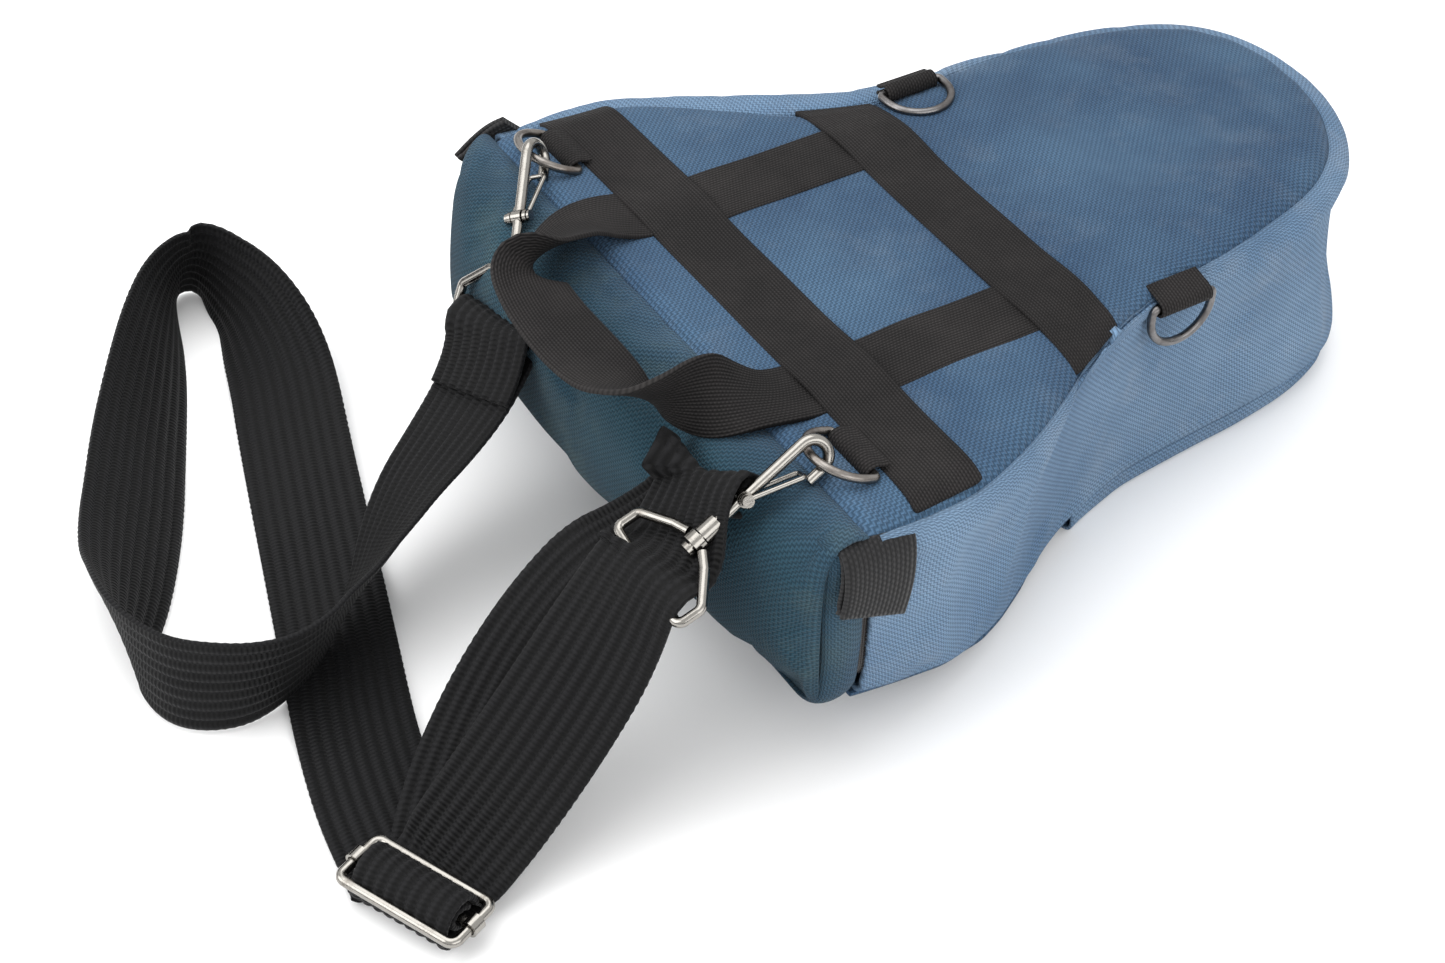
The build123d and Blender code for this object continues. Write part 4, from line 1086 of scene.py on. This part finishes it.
ring_loop("ring_loop_upper_far", (-101.5, 86, 93.1), (0, 1, 0), (1, 0, 0), 5.5, 1.2)
ring_loop("ring_loop_upper_near", (-101.5, -86, 93.1), (0, 1, 0), (1, 0, 0), 5.5, 1.2)
ring_loop("ring_loop_lower_far", (20, 61.5, 93.1), (1, 0, 0), (0, 1, 0), 5.0, 2.0)
ring_loop("ring_loop_lower_near", (34, -70.6, 86), (1, 0, 0), (0, 1, 0.25), 8.0, 0.0)


# ---- grip tabs at the zip's ends
def tab(node, stations):
    """Webbing folded double into a grip at one end of the zip. Its stations are like the handle's."""
    line = smooth_line([station[:3] for station in stations], 1.2)
    wide = stretched(smooth_line([station[3:] for station in stations], 1.0), len(line))
    outer = ribbon(node + "_outer", line, wide, WEBBING, 1.5, TAB_WEB)
    inner = line.copy()
    side = 1 if line[0, 1] > 0 else -1
    inner[:, 1] -= side * np.linspace(1.6, 2.6, len(line))
    inner[-2:, 1] += side * 0.6
    under = ribbon(node + "_inner", inner, wide, WEBBING, 1.5, TAB_WEB)
    return seat(joined(node + "_webbing", [outer, under]), "bag", "charcoal_webbing", node)


tab("grip_tab_near", [(-112, -112.5, 87.2, 1, 0, 0), (-112.6, -116.8, 84.6, 1, 0, -0.08),
                      (-113.6, -119.4, 78, 0.97, 0, -0.22), (-115.2, -120.8, 71.5, 0.92, 0, -0.38),
                      (-117.4, -121.8, 66, 0.876, 0, -0.482)])
tab("grip_tab_far", [(-100, 113.5, 84, 0.72, 0, -0.7), (-103.5, 117.2, 80.5, 0.72, 0, -0.7),
                     (-108.5, 119.6, 75.5, 0.72, 0, -0.7), (-114.5, 120.8, 69.5, 0.72, 0, -0.7)])


def pocket_tape():
    """The woven tape on both sides of the pocket zip's teeth."""
    strips = []
    for z in (3.1, 6.0):
        line = [(3.4 + 0.12 * math.sin(y / 9.0), y, z) for y in np.linspace(-61.5, 61.5, 80)]
        strips.append(ribbon("tape", line, np.tile([0.0, 0.0, 1.0], (80, 1)), 2.0, 0.9, TAPE))
    return seat(joined("pocket_zip_tape_woven", strips), "bag", "zip_tape_brown", "pocket_zip_tape")


pocket_tape()
for name in ("front_panel_canvas", "pocket_gusset_canvas", "pocket_panel_canvas"):
    keep_on_floor(bpy.data.objects[name])

# ---- the CAD pieces that stay
LOOKS = {"bright_nickel": NICKEL, "worn_nickel": WORN, "gunmetal": GUNMETAL, "lining_nylon": LINING,
         "padding_foam": LINING, "zip_tape_brown": TAPE, "zip_coil_black": COIL, "navy_canvas": NAVY,
         "lid_canvas": LID_BLUE, "charcoal_webbing": CHARCOAL, "black_strap": STRAP}
for part in frame["record"]["subparts"]:
    piece = bpy.data.objects.get(part["node"]) or frame["nodes"][part["node"]]
    look_of = LOOKS[part["material_slot"]]
    if not piece.material_slots:
        piece.data.materials.append(look_of)
    for holder in piece.material_slots:
        holder.material = look_of

# ---- floor and light
floor_mesh = bpy.data.meshes.new("floor")
floor_mesh.from_pydata([(-6, -6, 0), (6, -6, 0), (6, 6, 0), (-6, 6, 0)], [], [(0, 1, 2, 3)])
floor = new_object("floor", floor_mesh)
paper = Nodes("paper")
paper.set(paper.shader.inputs["Base Color"], (0.93, 0.93, 0.93, 1))
paper.set(paper.shader.inputs["Roughness"], 0.9)
paper.shader.inputs["Specular IOR Level"].default_value = 0.1
floor_mesh.materials.append(paper.material)

world = bpy.data.worlds.new("studio")
scene.world = world
world.use_nodes = True
tree = world.node_tree
background = tree.nodes["Background"]
place = tree.nodes.new("ShaderNodeTexCoord")
split = tree.nodes.new("ShaderNodeSeparateXYZ")
sky = tree.nodes.new("ShaderNodeValToRGB")
dark_end, light_end = sky.color_ramp.elements
dark_end.position, dark_end.color = 0.08, (0.06, 0.06, 0.07, 1)
light_end.position, light_end.color = 0.26, (1.0, 1.0, 1.0, 1)
tree.links.new(place.outputs["Generated"], split.inputs[0])
tree.links.new(split.outputs[2], sky.inputs[0])
tree.links.new(sky.outputs[0], background.inputs[0])
background.inputs[1].default_value = 1.1


def area(name, place, target, size, power):
    """A soft light at a place, in metres, facing a target."""
    data = bpy.data.lights.new(name, "AREA")
    data.shape = "RECTANGLE"
    data.size, data.size_y = size
    data.energy = power
    lamp = new_object(name, data)
    lamp.location = place
    lamp.rotation_euler = (Vector(target) - Vector(place)).to_track_quat("-Z", "Y").to_euler()


area("overhead", (-0.1, 0.3, 1.5), (0, 0, 0), (1.6, 1.2), 14)
area("left_side", (-1.3, 0.4, 0.8), (-0.1, 0, 0), (1.2, 1.0), 11)
area("front", (0.0, -1.5, 0.8), (0, 0, 0), (1.6, 0.9), 9)
scene.view_settings.view_transform = "Standard"
scene.view_settings.look = "None"
